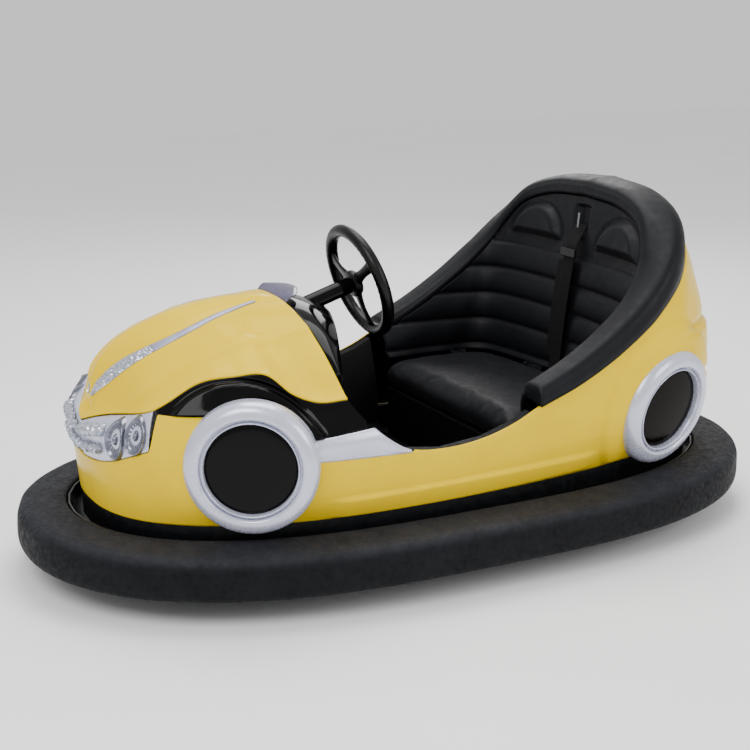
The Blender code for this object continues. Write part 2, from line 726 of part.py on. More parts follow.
def make_trims():
    """The four dummy wheels: a rounded ring and a disc in it."""
    ring = (
        (DISC_R + FIT, TRIM_PROUD - 0.008), (DISC_R + 0.010, TRIM_PROUD + 0.003),
        (0.134, TRIM_PROUD + 0.002), (TRIM_R, TRIM_PROUD - 0.020),
        (TRIM_R, -TRIM_SUNK), (TRIM_R - 0.006, -TRIM_SUNK), (DISC_R + FIT, -0.012),
    )
    disc = ((0.0, 0.004), (DISC_R - 0.010, 0.001), (DISC_R, -0.002), (DISC_R, -0.008), (0.0, -0.008))
    for name, centre, out in trim_frames():
        turned(f"wheel_trim_{name}", ring, centre, out, SILVER, steps=32)
        turned(f"wheel_disc_{name}", disc, centre, out, DARK_DISC, steps=32)


def make_dashboard(column_hole):
    across = np.linspace(0, 0.330, 8)
    bend = (across / 0.330) ** 1.4
    edge = bonnet_ribs(np.array((0.0, BONNET_CORNER_RUN)), 40)[:, -1]
    rim = np.array([rib_at(edge, x) for x in across])
    front = rim + (0, 0.0030, -SHELL)
    depth = 0.014 + (-0.215 - front[0, 1] - 0.014) * (1 - bend)
    rear = front + np.stack([0 * across, depth, -0.030 * (1 - bend) - 0.004], axis=1)
    foot = np.stack([across * 0.94, -0.262 - 0.070 * bend, np.full(8, 0.415)], axis=1)
    floor = np.stack([across * 0.94, np.full(8, -0.266), np.full(8, TUB_FLOOR_Z + FIT)], axis=1)
    share = np.linspace(0, 1, 4)[:, None, None]
    upper = front + share * (rear - front)
    lower = rear + share * (foot - rear)
    grid = np.concatenate([upper, lower[1:], foot[None] + (floor - foot) * 0.5, floor[None]])
    dash = sheet("dashboard", grid, BLACK_GLOSS, flip=True)
    mirror(dash)
    thicken(dash, 0.004)
    boolean(dash, column_hole)

    deflector_x = np.linspace(0, DEFLECTOR_HALF_WIDTH, 9)
    rim = np.array([rib_at(edge, x) for x in deflector_x])
    front_line = rim + (0, 0.0008, -0.001)
    rear_line = rim + np.stack([0 * deflector_x, 0.060 - 0.035 * (deflector_x / DEFLECTOR_HALF_WIDTH) ** 2,
                                0.014 + 0 * deflector_x], axis=1)
    share = np.linspace(0, 1, 4)[:, None, None]
    deflector = sheet("wind_deflector", front_line + share * (rear_line - front_line),
                      SMOKED, flip=True)
    mirror(deflector)
    thicken(deflector, 0.003)


def make_tub():
    """The cockpit's moulded liner: a floor, two sides that rise to the sills and a front bulkhead."""
    stations = np.array((-0.272, -0.200, -0.110, 0.000, 0.080, 0.125))
    sill = np.array([float(opening_z(run_at_y(min(y, 0.139)))) for y in stations]) - 0.004
    top_x = np.array([body_side(run_at_y(y), z)[0] for y, z in zip(stations, sill)]) - SHELL - FIT * 2
    sections = []
    for y, z, x in zip(stations, sill, top_x):
        half = [(0.0, TUB_FLOOR_Z), (0.20, TUB_FLOOR_Z), (0.315, TUB_FLOOR_Z), (0.345, TUB_FLOOR_Z + 0.020),
                (0.355, 0.5 * (TUB_FLOOR_Z + z)), (x - 0.034, z - 0.012), (x - 0.026, z), (x, z)]
        sections.append([(px, y, pz) for px, pz in half])
    tub = sheet("cockpit_tub", np.array(sections).transpose(1, 0, 2), BLACK_GLOSS)
    mirror(tub)
    thicken(tub, 0.004, offset=1.0)


def seat_foot(count):
    """The plan of the seat back's foot, from its front end to the middle."""
    turn = np.linspace(0, 1, count)
    return np.stack([
        through(turn, (0, 0.35, 0.7, 0.85, 1.0), (0.336, 0.342, 0.300, 0.180, 0.0)),
        through(turn, (0, 0.35, 0.7, 1.0), (0.152, 0.302, 0.444, CUSHION_BACK_Y)),
    ], axis=1)


def make_seat():
    base = box("seat_base", (-SEAT_HALF_WIDTH, 0.130, DECK_TOP_Z + FIT),
               (SEAT_HALF_WIDTH, 0.455, SEAT_BASE_TOP_Z),
               BLACK_GLOSS)
    hollow = box("cut_seat_base", (-SEAT_HALF_WIDTH + SHELL, 0.130 + SHELL, TUB_FLOOR_Z - 0.05),
                 (SEAT_HALF_WIDTH - SHELL, 0.455 - SHELL, SEAT_BASE_TOP_Z - SHELL), BLACK_GLOSS, "cutters")
    boolean(base, hollow)
    box("battery_pack", (-0.210, 0.165, DECK_TOP_Z + FIT), (0.210, 0.415, 0.255), BLACK_STEEL)
    foot = seat_foot(22) - (0.004, 0.004)
    foot[-1, 0] = 0.0
    front = np.array([(0.0, CUSHION_FRONT_Y), (foot[0, 0] - 0.020, CUSHION_FRONT_Y)])
    outline = mirrored_loop(np.concatenate([front, foot]))
    cushion = flat_plate("seat_cushion", [outline], SEAT_BASE_TOP_Z + FIT, CUSHION_TOP_Z, VINYL)
    bevel(cushion, 0.010, 2)

    path, normal, width, height, seam = pad_line(20)
    arch = np.linspace(0, math.pi, 8)
    sections = []
    for at, n, w, h, s in zip(path, normal, width, height, seam):
        across = np.sign(np.cos(arch)) * np.abs(np.cos(arch)) ** 0.7
        under = s * (1 - across) / 2
        ring = list(zip(w * across, under + (h - under) * np.sin(arch) ** 0.7))
        sections.append([(at[0] + u * n[0], at[1] + u * n[1], at[2] + v) for u, v in ring])
    half = np.array(sections)
    other = half[:-1][::-1] * (-1, 1, 1)
    loft("seat_bolster", np.concatenate([half, other]), VINYL)

    count = 18
    path, normal, width, height, seam = pad_line(count)
    top = np.c_[path[:, :2] - (width[:, None] - 0.004) * normal, path[:, 2] + 0.80 * seam - BACK_DROP]
    low = np.c_[seat_foot(count), np.full(count, CUSHION_TOP_Z + 2 * FIT)]
    share = np.linspace(0, 1, 6)[:, None, None]
    grid = low + share * (top - low)
    back = sheet("seat_back", grid, VINYL)
    mirror(back)
    thicken(back, BACK_WALL, offset=1.0)

    belt_x = 0.024
    foot, head = low[-1], top[-1]
    line = foot + np.array((0.02, 0.25, 0.5, 0.80))[:, None] * (head - foot) - (0, 0.0031, 0)
    points = np.array([[(x, y, z) for _, y, z in line] for x in (-belt_x, 0.0, belt_x)])
    belt = sheet("seat_belt", points, WEBBING)
    thicken(belt, 0.003)


def make_steering():
    tilt = math.radians(COLUMN_TILT)
    up = Vector((0, math.cos(tilt), math.sin(tilt)))
    rim_radius = STEERING_R
    bpy.ops.mesh.primitive_torus_add(
        major_segments=36, minor_segments=8, major_radius=rim_radius, minor_radius=GRIP_R,
    )
    wheel = bpy.context.object
    wheel.name = "steering_wheel"
    place(wheel, BLACK_GLOSS)
    wheel.matrix_world = Matrix.Translation(HUB) @ aim(up).to_4x4()
    bpy.context.view_layer.update()
    frame = wheel.matrix_world.copy()
    hub = cylinder("cut_hub", HUB - 0.022 * up, HUB + 0.006 * up, 0.034, BLACK_GLOSS, collection="cutters")
    boolean(wheel, hub, "UNION")
    for k, angle in enumerate((90, 210, 330)):
        turn = math.radians(angle)
        way = frame.to_3x3() @ Vector((math.cos(turn), math.sin(turn), 0))
        across = frame.to_3x3() @ Vector((-math.sin(turn), math.cos(turn), 0))
        spoke = box(f"cut_spoke_{k}", (0.020, -0.016, -0.006), (rim_radius, 0.016, 0.003),
                    BLACK_GLOSS, "cutters")
        axes = Matrix((way, across, up)).transposed()
        spoke.matrix_world = Matrix.Translation(HUB - 0.004 * up) @ axes.to_4x4()
        boolean(wheel, spoke, "UNION")
    shaft = cylinder("steering_shaft", HUB - (0.022 + FIT) * up, HUB - 0.400 * up, 0.010, BLACK_STEEL)
    column = turned(
        "steering_column",
        ((0.0105, -0.030), (0.0205, -0.030), (0.0205, -0.200), (0.0105, -0.200)),
        HUB, up, BLACK_GLOSS, steps=24,
    )
    hole = cylinder(
        "cut_column", HUB - 0.030 * up, HUB - 0.210 * up, 0.0205 + FIT, BLACK_GLOSS, collection="cutters",
    )
    return hole


def make_drive():
    centre = Vector((0, DRIVE_Y, WHEEL_R))
    turn = np.linspace(0, 2 * math.pi, 72, endpoint=False)

    def circle(radius):
        return np.c_[radius * np.cos(turn), DRIVE_Y + radius * np.sin(turn)]

    flat_plate("swivel_bearing", [circle(0.215), circle(0.180)], DECK_TOP_Z + FIT, 0.150, MOTOR)
    half_slot = DRIVE_TYRE_WIDTH / 2 + RUNNING_GAP
    slot = [(-half_slot, DRIVE_Y - 0.098), (half_slot, DRIVE_Y - 0.098),
            (half_slot, DRIVE_Y + 0.098), (-half_slot, DRIVE_Y + 0.098)]
    frame = flat_plate("drive_frame", [circle(0.1792), slot], 0.136, 0.148, BLACK_STEEL)
    for side in (-1, 1):
        x0, x1 = sorted((side * half_slot, side * (half_slot + 0.008)))
        leg = box(f"cut_leg_{side}", (x0 - 0.00001, DRIVE_Y - 0.028, 0.070), (x1, DRIVE_Y + 0.028, 0.236),
                  BLACK_STEEL, "cutters")
        boolean(frame, leg, "UNION")
    bridge = box("cut_bridge", (-half_slot - 0.004, DRIVE_Y - 0.0275, 0.222),
                 (half_slot + 0.004, DRIVE_Y + 0.0275, 0.2355),
                 BLACK_STEEL, "cutters")
    boolean(frame, bridge, "UNION")
    post = cylinder("cut_post", (0, DRIVE_Y, 0.230), (0, DRIVE_Y, 0.452), 0.015, BLACK_STEEL,
                    collection="cutters")
    boolean(frame, post, "UNION")
    axle = cylinder("cut_drive_axle", (-half_slot - 0.014, DRIVE_Y, WHEEL_R),
                    (half_slot + 0.014, DRIVE_Y, WHEEL_R),
                    0.0085, BLACK_STEEL, collection="cutters")
    boolean(frame, axle, "UNION")
    motor = cylinder("drive_motor", (0.108, DRIVE_Y, 0.1483), (0.108, DRIVE_Y, 0.300), 0.055, MOTOR, sides=32)
    wheel(centre, DRIVE_TYRE_WIDTH, "drive")


def wheel(centre, width, name):
    """A rubber tyre on a hub that turns on its axle."""
    half = width / 2
    hub = ((0.0088, half), (0.030, half), (0.060, half - 0.010), (0.060, 0.010 - half), (0.030, -half),
           (0.0088, -half))
    tyre = ((0.0603, half - 0.006), (WHEEL_R - 0.006, half), (WHEEL_R, half - 0.006),
            (WHEEL_R, 0.006 - half), (WHEEL_R - 0.006, -half), (0.0603, 0.006 - half))
    turned(f"{name}_hub", hub, centre, (1, 0, 0), MOTOR, steps=24)
    turned(f"{name}_tyre", tyre, centre, (1, 0, 0), RUBBER, steps=32)


def make_rear_wheels():
    for side, sign in (("left", 1), ("right", -1)):
        centre = Vector((sign * REAR_WHEEL_X, REAR_WHEEL_Y, WHEEL_R))
        wheel(centre, REAR_TYRE_WIDTH, f"rear_{side}")
        inner = REAR_TYRE_WIDTH / 2 + RUNNING_GAP
        outer = inner + 0.006
        front = -WHEEL_R - 0.010
        outline = [
            (-outer, 0.030), (-outer, front - 0.006), (outer, front - 0.006), (outer, 0.030),
            (inner, 0.030), (inner, front), (-inner, front), (-inner, 0.030),
        ]
        outline = [(centre.x + x, centre.y + y) for x, y in outline]
        bracket = flat_plate(f"rear_axle_{side}", [outline], 0.080, DECK_TOP_Z - PLATE - FIT, BLACK_STEEL)
        pin = cylinder(f"cut_rear_axle_{side}", centre - Vector((outer + 0.006, 0, 0)),
                       centre + Vector((outer + 0.006, 0, 0)), 0.0085, BLACK_STEEL, collection="cutters")
        boolean(bracket, pin, "UNION")


def make_pedal():
    box("accelerator_pedal", (-0.055, -0.256, TUB_FLOOR_Z + FIT), (0.055, -0.180, 0.170), BLACK_STEEL)


def main():
    for obj in list(bpy.data.objects):
        bpy.data.objects.remove(obj)
    for name in ("bumper_car", "cutters"):
        bpy.context.scene.collection.children.link(bpy.data.collections.new(name))
    make_bumper()
    make_chassis()
    make_plinth()
    cutters = trim_cutters()
    make_body(cutters)
    make_bonnet()
    make_trims()
    column_hole = make_steering()
    make_dashboard(column_hole)
    make_tub()
    make_seat()
    make_drive()
    make_rear_wheels()
    make_pedal()
    bpy.data.collections["cutters"].hide_render = True


main()
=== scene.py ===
"""Looks of the fairground bumper car: fine surfaces and finishes over its CAD frame.

Metres, +Z up, the nose points to -Y and the driver's left is +X, as in the frame.
"""

import json
import math

import bmesh
import bpy
import numpy as np
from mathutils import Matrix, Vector

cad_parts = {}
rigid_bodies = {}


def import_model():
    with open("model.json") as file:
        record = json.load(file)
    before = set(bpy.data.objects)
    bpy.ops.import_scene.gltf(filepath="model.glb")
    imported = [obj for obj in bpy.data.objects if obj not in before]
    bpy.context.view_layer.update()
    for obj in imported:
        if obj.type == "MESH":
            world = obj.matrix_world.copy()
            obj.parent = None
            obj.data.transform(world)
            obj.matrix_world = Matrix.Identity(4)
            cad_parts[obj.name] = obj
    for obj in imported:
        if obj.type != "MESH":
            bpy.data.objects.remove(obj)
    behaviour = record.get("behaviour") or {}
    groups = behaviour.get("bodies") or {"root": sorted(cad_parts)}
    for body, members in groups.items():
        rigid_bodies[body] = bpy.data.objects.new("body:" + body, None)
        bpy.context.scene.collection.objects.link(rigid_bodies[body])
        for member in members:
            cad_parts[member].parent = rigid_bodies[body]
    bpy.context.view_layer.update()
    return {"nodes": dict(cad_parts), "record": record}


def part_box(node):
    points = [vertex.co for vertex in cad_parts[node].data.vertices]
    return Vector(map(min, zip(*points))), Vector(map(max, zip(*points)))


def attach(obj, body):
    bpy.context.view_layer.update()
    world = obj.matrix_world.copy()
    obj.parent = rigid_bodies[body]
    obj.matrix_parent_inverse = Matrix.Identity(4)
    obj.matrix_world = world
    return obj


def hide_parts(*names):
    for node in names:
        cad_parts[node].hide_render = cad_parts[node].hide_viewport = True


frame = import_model()
ROOT = "car_body"


# ---- arrays into meshes -------------------------------------------------------------------------
def grid_faces(rows, columns, wrap=False):
    """Quads of a grid, one row of faces between each two rows of points; wrap joins the last column."""
    i, j = np.meshgrid(np.arange(rows - 1), np.arange(columns if wrap else columns - 1), indexing="ij")
    k = (j + 1) % columns
    low, high = i * columns, (i + 1) * columns
    return np.stack([low + j, low + k, high + k, high + j], axis=-1).reshape(-1, 4)


def linked(name, data):
    """A new object with this data, in the scene."""
    obj = bpy.data.objects.new(name, data)
    bpy.context.scene.collection.objects.link(obj)
    return obj


def make(name, points, quads, finish, body=ROOT, smooth=True, loose=()):
    """Points and quads as an object that rides on a body. loose is a list of further n-gon faces."""
    mesh = bpy.data.meshes.new(name)
    faces = [tuple(q) for q in quads.tolist()] + [tuple(f) for f in loose]
    mesh.from_pydata(points.reshape(-1, 3).tolist(), [], faces)
    mesh.update()
    mesh.materials.append(finish)
    obj = linked(name, mesh)
    mesh.polygons.foreach_set("use_smooth", np.full(len(mesh.polygons), smooth))
    mesh.update()
    obj["body"] = body
    return obj


def outwards(points, quads, centre=None):
    """The same quads turned so that they face away from a centre: the sign of the mean of normal dot ray."""
    flat = points.reshape(-1, 3)
    a, b, c = (flat[quads[:, k]] for k in (0, 1, 2))
    normal = np.cross(b - a, c - a)
    away = (a + c) / 2 - (flat.mean(axis=0) if centre is None else np.asarray(centre))
    return quads[:, ::-1] if np.sum(normal * away) < 0 else quads


def joined(grids):
    """Several pairs of points and quads as one pair, each counted on from the points before it."""
    starts = np.cumsum([0] + [points.size // 3 for points, _ in grids[:-1]])
    return (np.concatenate([points.reshape(-1, 3) for points, _ in grids]),
            np.concatenate([quads + start for (_, quads), start in zip(grids, starts)]))


def wall(obj, thickness):
    """Gives a sheet its thickness, inwards from its faces."""
    made = obj.modifiers.new("wall", "SOLIDIFY")
    made.thickness = thickness
    made.offset = -1.0
    made.use_even_offset = False
    return obj


def sheet(name, points, centre, finish_used, thickness, smooth=True):
    """A grid of points as a sheet that faces away from a centre, with a wall behind it."""
    quads = outwards(points, grid_faces(*points.shape[:2]), centre=centre)
    return wall(make(name, points, quads, finish_used, smooth=smooth), thickness)


def repaired(obj, merge=0.00002, fill=False, turn_out=True):
    """Merges points closer than a distance, caps open rings of edges, turns closed pieces' faces outwards."""
    work = bmesh.new()
    work.from_mesh(obj.data)
    if merge:
        bmesh.ops.remove_doubles(work, verts=work.verts, dist=merge)
    if fill:
        bmesh.ops.holes_fill(work, edges=[e for e in work.edges if e.is_boundary], sides=0)
    if turn_out:
        bmesh.ops.recalc_face_normals(work, faces=work.faces)
    work.to_mesh(obj.data)
    work.free()
    return obj


def read(items, key):
    """A vector of every vertex or face, as rows of three numbers."""
    flat = np.empty(len(items) * 3)
    items.foreach_get(key, flat)
    return flat.reshape(-1, 3)


def sharp(obj, degrees=35):
    """Smooth shading, split along edges that turn by more than an angle."""
    obj.data.shade_smooth()
    obj.data.set_sharp_from_angle(angle=math.radians(degrees))
    return obj


def smooth_step(x, low, high):
    """Rises from 0 at low to 1 at high as 3 t squared less 2 t cubed."""
    t = np.clip((x - low) / (high - low), 0, 1)
    return t * t * (3 - 2 * t)


def bell(x, middle, width):
    """e to the minus square of the distance from the middle over the width."""
    return np.exp(-((x - middle) / width) ** 2)


def turns(count):
    """Angles round a circle, without the last one, which is the first again."""
    return np.linspace(0, 2 * math.pi, count, endpoint=False)


def circle(angles, side, other):
    """Points of a unit circle in the plane of two directions."""
    return np.cos(angles)[..., None] * side + np.sin(angles)[..., None] * other


def squared_off(value, power):
    """A sine or cosine to a power with its sign kept, which squares a circle off."""
    return np.sign(value) * np.abs(value) ** power


def turned_right(ahead):
    """Unit vectors a quarter turn clockwise from plan directions."""
    ahead = ahead / np.linalg.norm(ahead, axis=1)[:, None]
    return np.stack([ahead[:, 1], -ahead[:, 0]], axis=1)


def lengths_along(points):
    """The distance along a line of points at each of them."""
    return np.r_[0, np.cumsum(np.linalg.norm(np.diff(points, axis=0), axis=1))]


def with_mirror(half, axis=0, first=False):
    """A left half and its mirror, which share the last (or first) row or column, in the middle plane."""
    mirror = np.delete(np.flip(half, axis) * MIRROR, -1 if first else 0, axis)
    return np.concatenate([mirror, half] if first else [half, mirror], axis=axis)


def pinched(rings):
    """A tube of rings, closed at each end by a ring drawn together to its middle."""
    first, last = (ring.mean(axis=1, keepdims=True) * np.ones_like(ring) for ring in (rings[:1], rings[-1:]))
    return np.concatenate([first, rings, last])


def interval(x, keys):
    """The index of the interval of keys that x is in, its length, and how far x is through it."""
    i = np.clip(np.searchsorted(keys, x, side="right") - 1, 0, len(keys) - 2)
    span = keys[i + 1] - keys[i]
    return i, span, (x - keys[i]) / span


def cubic(t, span, start, leave, stop, arrive):
    """The cubic from start to stop with slopes leave and arrive, at a share t of the span."""
    return (
        (2 * t**3 - 3 * t**2 + 1) * start + (t**3 - 2 * t**2 + t) * span * leave
        + (3 * t**2 - 2 * t**3) * stop + (t**3 - t**2) * span * arrive
    )


def through(x, keys, values):
    """A smooth curve through key values: cubic pieces whose slopes come from their neighbours."""
    keys, values = np.asarray(keys, float), np.asarray(values, float)
    steps = np.diff(values, axis=0) / np.diff(keys).reshape(-1, *[1] * (values.ndim - 1))
    slopes = np.concatenate([steps[:1], (steps[:-1] + steps[1:]) / 2, steps[-1:]])
    i, span, t = interval(np.clip(np.asarray(x, float), keys[0], keys[-1]), keys)
    shape = (*t.shape, *[1] * (values.ndim - 1))
    return cubic(t.reshape(shape), span.reshape(shape), values[i], slopes[i], values[i + 1], slopes[i + 1])


# ---- finishes -----------------------------------------------------------------------------------
def linear(text):
    """An sRGB hex colour as linear values."""
    values = [int(text[i:i + 2], 16) / 255 for i in (0, 2, 4)]
    return (*[v / 12.92 if v <= 0.04045 else ((v + 0.055) / 1.055) ** 2.4 for v in values], 1.0)


def per_mm(size):
    """The scale of a pattern whose features are this many millimetres across."""
    return 1000.0 / size


def add(tree, kind, values=(), sources=(), **settings):
    """Adds a node with its settings, its socket values and its links."""
    made = tree.nodes.new("ShaderNode" + kind)
    for key, value in settings.items():
        setattr(made, key, value)
    for socket, value in dict(values).items():
        made.inputs[socket].default_value = value
    for socket, source in dict(sources).items():
        tree.links.new(source, made.inputs[socket])
    return made


def finish(name, colour, second, patch_mm, rough, grain=(), **shader_values):
    """A Principled finish: two tones mixed in soft patches, roughness that varies with them, and grains.

    grain is a list of (pattern kind, size in mm, height in mm). rough is (smoothest, roughest)."""
    made = bpy.data.materials.new(name)
    made.use_nodes = True
    tree = made.node_tree
    shader = tree.nodes["Principled BSDF"]
    for key, value in shader_values.items():
        shader.inputs[key.replace("_", " ")].default_value = value
    at = add(tree, "TexCoord").outputs["Object"]
    patches = add(tree, "TexNoise", {"Scale": per_mm(patch_mm), "Detail": 5.0, "Roughness": 0.6},
                  {"Vector": at})
    tone = add(tree, "MapRange", {"From Min": 0.35, "From Max": 0.75}, {"Value": patches.outputs["Fac"]})
    mix = add(tree, "Mix", {"A": linear(colour), "B": linear(second)}, {"Factor": tone.outputs["Result"]},
              data_type="RGBA")
    tree.links.new(mix.outputs["Result"], shader.inputs["Base Color"])
    fine = add(tree, "TexNoise", {"Scale": per_mm(patch_mm / 6), "Detail": 3.0}, {"Vector": at})
    span = {"From Min": 0.3, "From Max": 0.7, "To Min": rough[0], "To Max": rough[1]}
    roughness = add(tree, "MapRange", span, {"Value": fine.outputs["Fac"]})
    tree.links.new(roughness.outputs["Result"], shader.inputs["Roughness"])
    last = None
    for kind, size, height in grain:
        if kind == "weave":
            pattern = add(tree, "TexWave", {"Scale": per_mm(size) / 6.28, "Distortion": 0.4}, {"Vector": at},
                          bands_direction="Z")
            out = pattern.outputs["Fac"]
        elif kind == "pebble":
            pattern = add(tree, "TexVoronoi", {"Scale": per_mm(size)}, {"Vector": at}, feature="SMOOTH_F1")
            out = pattern.outputs["Distance"]
        else:
            pattern = add(tree, "TexNoise", {"Scale": per_mm(size), "Detail": 4.0}, {"Vector": at})
            out = pattern.outputs["Fac"]
        bump = add(tree, "Bump", {"Strength": 1.0, "Distance": height / 1000}, {"Height": out})
        if last:
            tree.links.new(last.outputs["Normal"], bump.inputs["Normal"])
        last = bump
    if last:
        tree.links.new(last.outputs["Normal"], shader.inputs["Normal"])
    return made


def dusted(made, dust, amount, patch_mm):
    """Adds dust where a face looks up: the upward part of the normal times soft patches."""
    tree = made.node_tree
    shader = tree.nodes["Principled BSDF"]
    before = shader.inputs["Base Color"].links[0].from_socket
    at = add(tree, "TexCoord").outputs["Object"]
    normal = add(tree, "NewGeometry").outputs["Normal"]
    up = add(tree, "SeparateXYZ", sources={"Vector": normal}).outputs["Z"]
    patches = add(tree, "TexNoise", {"Scale": per_mm(patch_mm), "Detail": 6.0, "Roughness": 0.7},
                  {"Vector": at})
    facing = add(tree, "MapRange", {"From Min": 0.1, "From Max": 0.95, "To Max": amount}, {"Value": up})
    both = add(tree, "Math", sources={0: facing.outputs["Result"], 1: patches.outputs["Fac"]},
               operation="MULTIPLY")
    mix = add(tree, "Mix", {"B": linear(dust)}, {"Factor": both.outputs["Value"], "A": before},
              data_type="RGBA")
    tree.links.new(mix.outputs["Result"], shader.inputs["Base Color"])
    return made


# glass-fibre moulding with a pigmented polyester gelcoat, polished: a deep even colour under a wet gloss
YELLOW = finish("polished_yellow_gelcoat", "e8c400", "ddb800", 160, (0.16, 0.24), [("noise", 26, 0.05)],
                Coat_Weight=0.03, Coat_Roughness=0.04, Coat_Tint=linear("fff000"), Specular_IOR_Level=0.05,
                Specular_Tint=linear("fff000"))
# the same moulding in black: mirror-like, with dust that greys it a little
BLACK_GLOSS = finish("polished_black_gelcoat", "020203", "040405", 90, (0.06, 0.15), [("noise", 22, 0.06)],
                     Specular_IOR_Level=0.12, Coat_Weight=0.03, Coat_Roughness=0.04)
# the liner and seat base, left as the mould gave them: dull black that swallows the light in the cockpit
BLACK_LINER = finish("satin_black_gelcoat", "030304", "060607", 60, (0.5, 0.7), [("noise", 5, 0.1)],
                     Specular_IOR_Level=0.1)
# aluminium-flake paint, sprayed and lacquered: soft lavender-grey sheen
SILVER = finish("lacquered_silver_paint", "c6c8da", "b9bbce", 60, (0.24, 0.32), [("noise", 12, 0.006)],
                Metallic=0.35, Coat_Weight=0.5, Coat_Roughness=0.1)
# the same paint on the lamp strips, duller and more lavender than on the rings
STRIP_SILVER = finish("lacquered_lavender_paint", "9fa0b8", "8b8ca6", 50, (0.3, 0.42), [("noise", 3, 0.01)],
                      Metallic=0.25, Coat_Weight=0.2, Coat_Roughness=0.15)
# the dummy wheels' discs, black at the front and brown-black at the back: flat and dark
DISC = finish("polished_black_disc", "020203", "050506", 70, (0.06, 0.16), [("noise", 40, 0.12)],
              Specular_IOR_Level=0.12)
DISC_REAR = finish("polished_brown_disc", "060403", "0c0705", 70, (0.08, 0.2), [("noise", 40, 0.1)],
                   Specular_IOR_Level=0.05)
# moulded natural rubber, scuffed by other cars: dead matt, with grey dust on what looks up
RUBBER = dusted(finish("scuffed_bumper_rubber", "0a0b0e", "111317", 70, (0.5, 0.8),
                       [("noise", 9, 0.25), ("noise", 2.2, 0.12)], Specular_IOR_Level=0.12),
                "3c3d43", 0.7, 45)
# embossed PVC upholstery cloth: a fine pebble grain and a soft sheen
VINYL = finish("embossed_black_vinyl", "07080b", "0d0e13", 120, (0.42, 0.56),
               [("pebble", 2.6, 0.12), ("noise", 14, 0.2)], Specular_IOR_Level=0.16, Sheen_Weight=0.01)
# woven polyester belt, 3 mm ribs drawn coarser than the real 1.2 mm so that they show
WEBBING = finish("woven_black_webbing", "030304", "070709", 30, (0.7, 0.85), [("weave", 3.0, 0.3)],
                 Specular_IOR_Level=0.2)
# powder-coated mild steel: satin black with orange peel and floor dust
STEEL = dusted(finish("powder_coated_black_steel", "050609", "090a0d", 80, (0.28, 0.45), [("noise", 3, 0.05)],
                      Specular_IOR_Level=0.35), "36373a", 0.35, 60)
ZINC = finish("zinc_plated_steel", "8d9094", "74777b", 25, (0.28, 0.45), [("noise", 6, 0.03)], Metallic=0.9)
CHROME = finish("vacuum_plated_lamp_plastic", "8d909d", "5f6270", 14, (0.14, 0.3), [("noise", 8, 0.1)],
                Metallic=0.85)
CRYSTAL = finish("moulded_clear_acrylic", "c3c8d4", "6f7482", 5, (0.04, 0.12), [("pebble", 5, 0.8)],
                 Metallic=0.5, Coat_Weight=0.6, IOR=1.49)
SMOKED = finish("smoked_violet_acrylic", "5d5878", "494560", 40, (0.05, 0.12), [("noise", 30, 0.05)],
                Transmission_Weight=0.25, IOR=1.49)
GRIP = finish("moulded_black_urethane", "020203", "040405", 40, (0.28, 0.42), [("pebble", 3, 0.06)],
              Specular_IOR_Level=0.25)
# solid rubber tyres, worn matt and dusty, and grey castings with a dull machined sheen
TYRE = dusted(finish("worn_solid_rubber", "1d1e20", "2b2b2c", 30, (0.7, 0.9), [("noise", 4, 0.3)]),
              "55524c", 0.4, 20)
CASTING = finish("machined_grey_casting", "6c6f72", "5a5d60", 30, (0.35, 0.5), [("noise", 2, 0.05)],
                 Metallic=0.7)


# ---- shapes that the body's pieces share --------------------------------------------------------
MIRROR = (-1, 1, 1)
SIDES = (("left", (1, 1, 1)), ("right", MIRROR))
BONNET_MIDDLE, LAMP_MIDDLE = (0, -0.45, 0.35), (0, -0.5, 0.36)
FRONT_WHEEL, REAR_WHEEL = (0.392, -0.570, 0.342), (0.400, 0.545, 0.333)
SHELL_WALL, PANEL_GAP = 0.005, 0.0045
BODY_BASE_Z, BODY_HALF_WIDTH, BODY_MID_Y, BODY_NOSE, BODY_TAIL = 0.195, 0.402, -0.150, 0.666, 0.980
SWELL_Z = (0.195, 0.250, 0.340, 0.400, 0.460, 0.600, 0.760)
SWELL_Y = (-0.816, -0.740, -0.570, -0.150, 0.250, 0.540, 0.700, 0.830)
SWELL = (
    (0.000, 0.004, 0.010, 0.006, -0.079, -0.067, -0.130),
    (0.000, 0.014, 0.022, 0.010, -0.013, -0.089, -0.120),
    (0.000, 0.032, 0.052, 0.049, -0.015, -0.054, -0.080),
    (0.000, 0.022, 0.030, 0.030, 0.011, 0.019, 0.000),
    (0.000, 0.024, 0.045, 0.051, 0.055, 0.055, 0.050),
    (0.000, 0.040, 0.076, 0.086, 0.090, 0.088, 0.060),
    (0.000, 0.030, 0.055, 0.060, 0.062, 0.040, -0.030),
    (0.000, 0.012, 0.022, 0.022, 0.020, -0.020, -0.130),
)


def base_line(count=900):
    """The left half of the body's base plan: a superellipse quarter to the nose and one to the tail."""
    turn = np.linspace(0, math.pi / 2, count)
    nose = np.stack([BODY_HALF_WIDTH * np.sin(turn) ** (2 / 2.5),
                     BODY_MID_Y - BODY_NOSE * np.cos(turn) ** (2 / 2.3)], axis=1)
    tail = np.stack([BODY_HALF_WIDTH * np.cos(turn[1:]) ** (2 / 3.0),
                     BODY_MID_Y + BODY_TAIL * np.sin(turn[1:]) ** (2 / 2.0)], axis=1)
    points = np.concatenate([nose, tail])
    points[0, 0] = points[-1, 0] = 0.0
    run = lengths_along(points)
    even = np.linspace(0, run[-1], count)
    points = np.stack([np.interp(even, run, points[:, k]) for k in range(2)], axis=1)
    ahead = np.gradient(points, axis=0)
    ahead[0], ahead[-1] = (1, 0), (-1, 0)
    return points, turned_right(ahead), even


BASE_POINTS, BASE_NORMALS, BASE_RUN = base_line()


def run_at_y(y):
    """The distance along the base plan at which it reaches a y."""
    return np.interp(y, BASE_POINTS[:, 1], BASE_RUN)


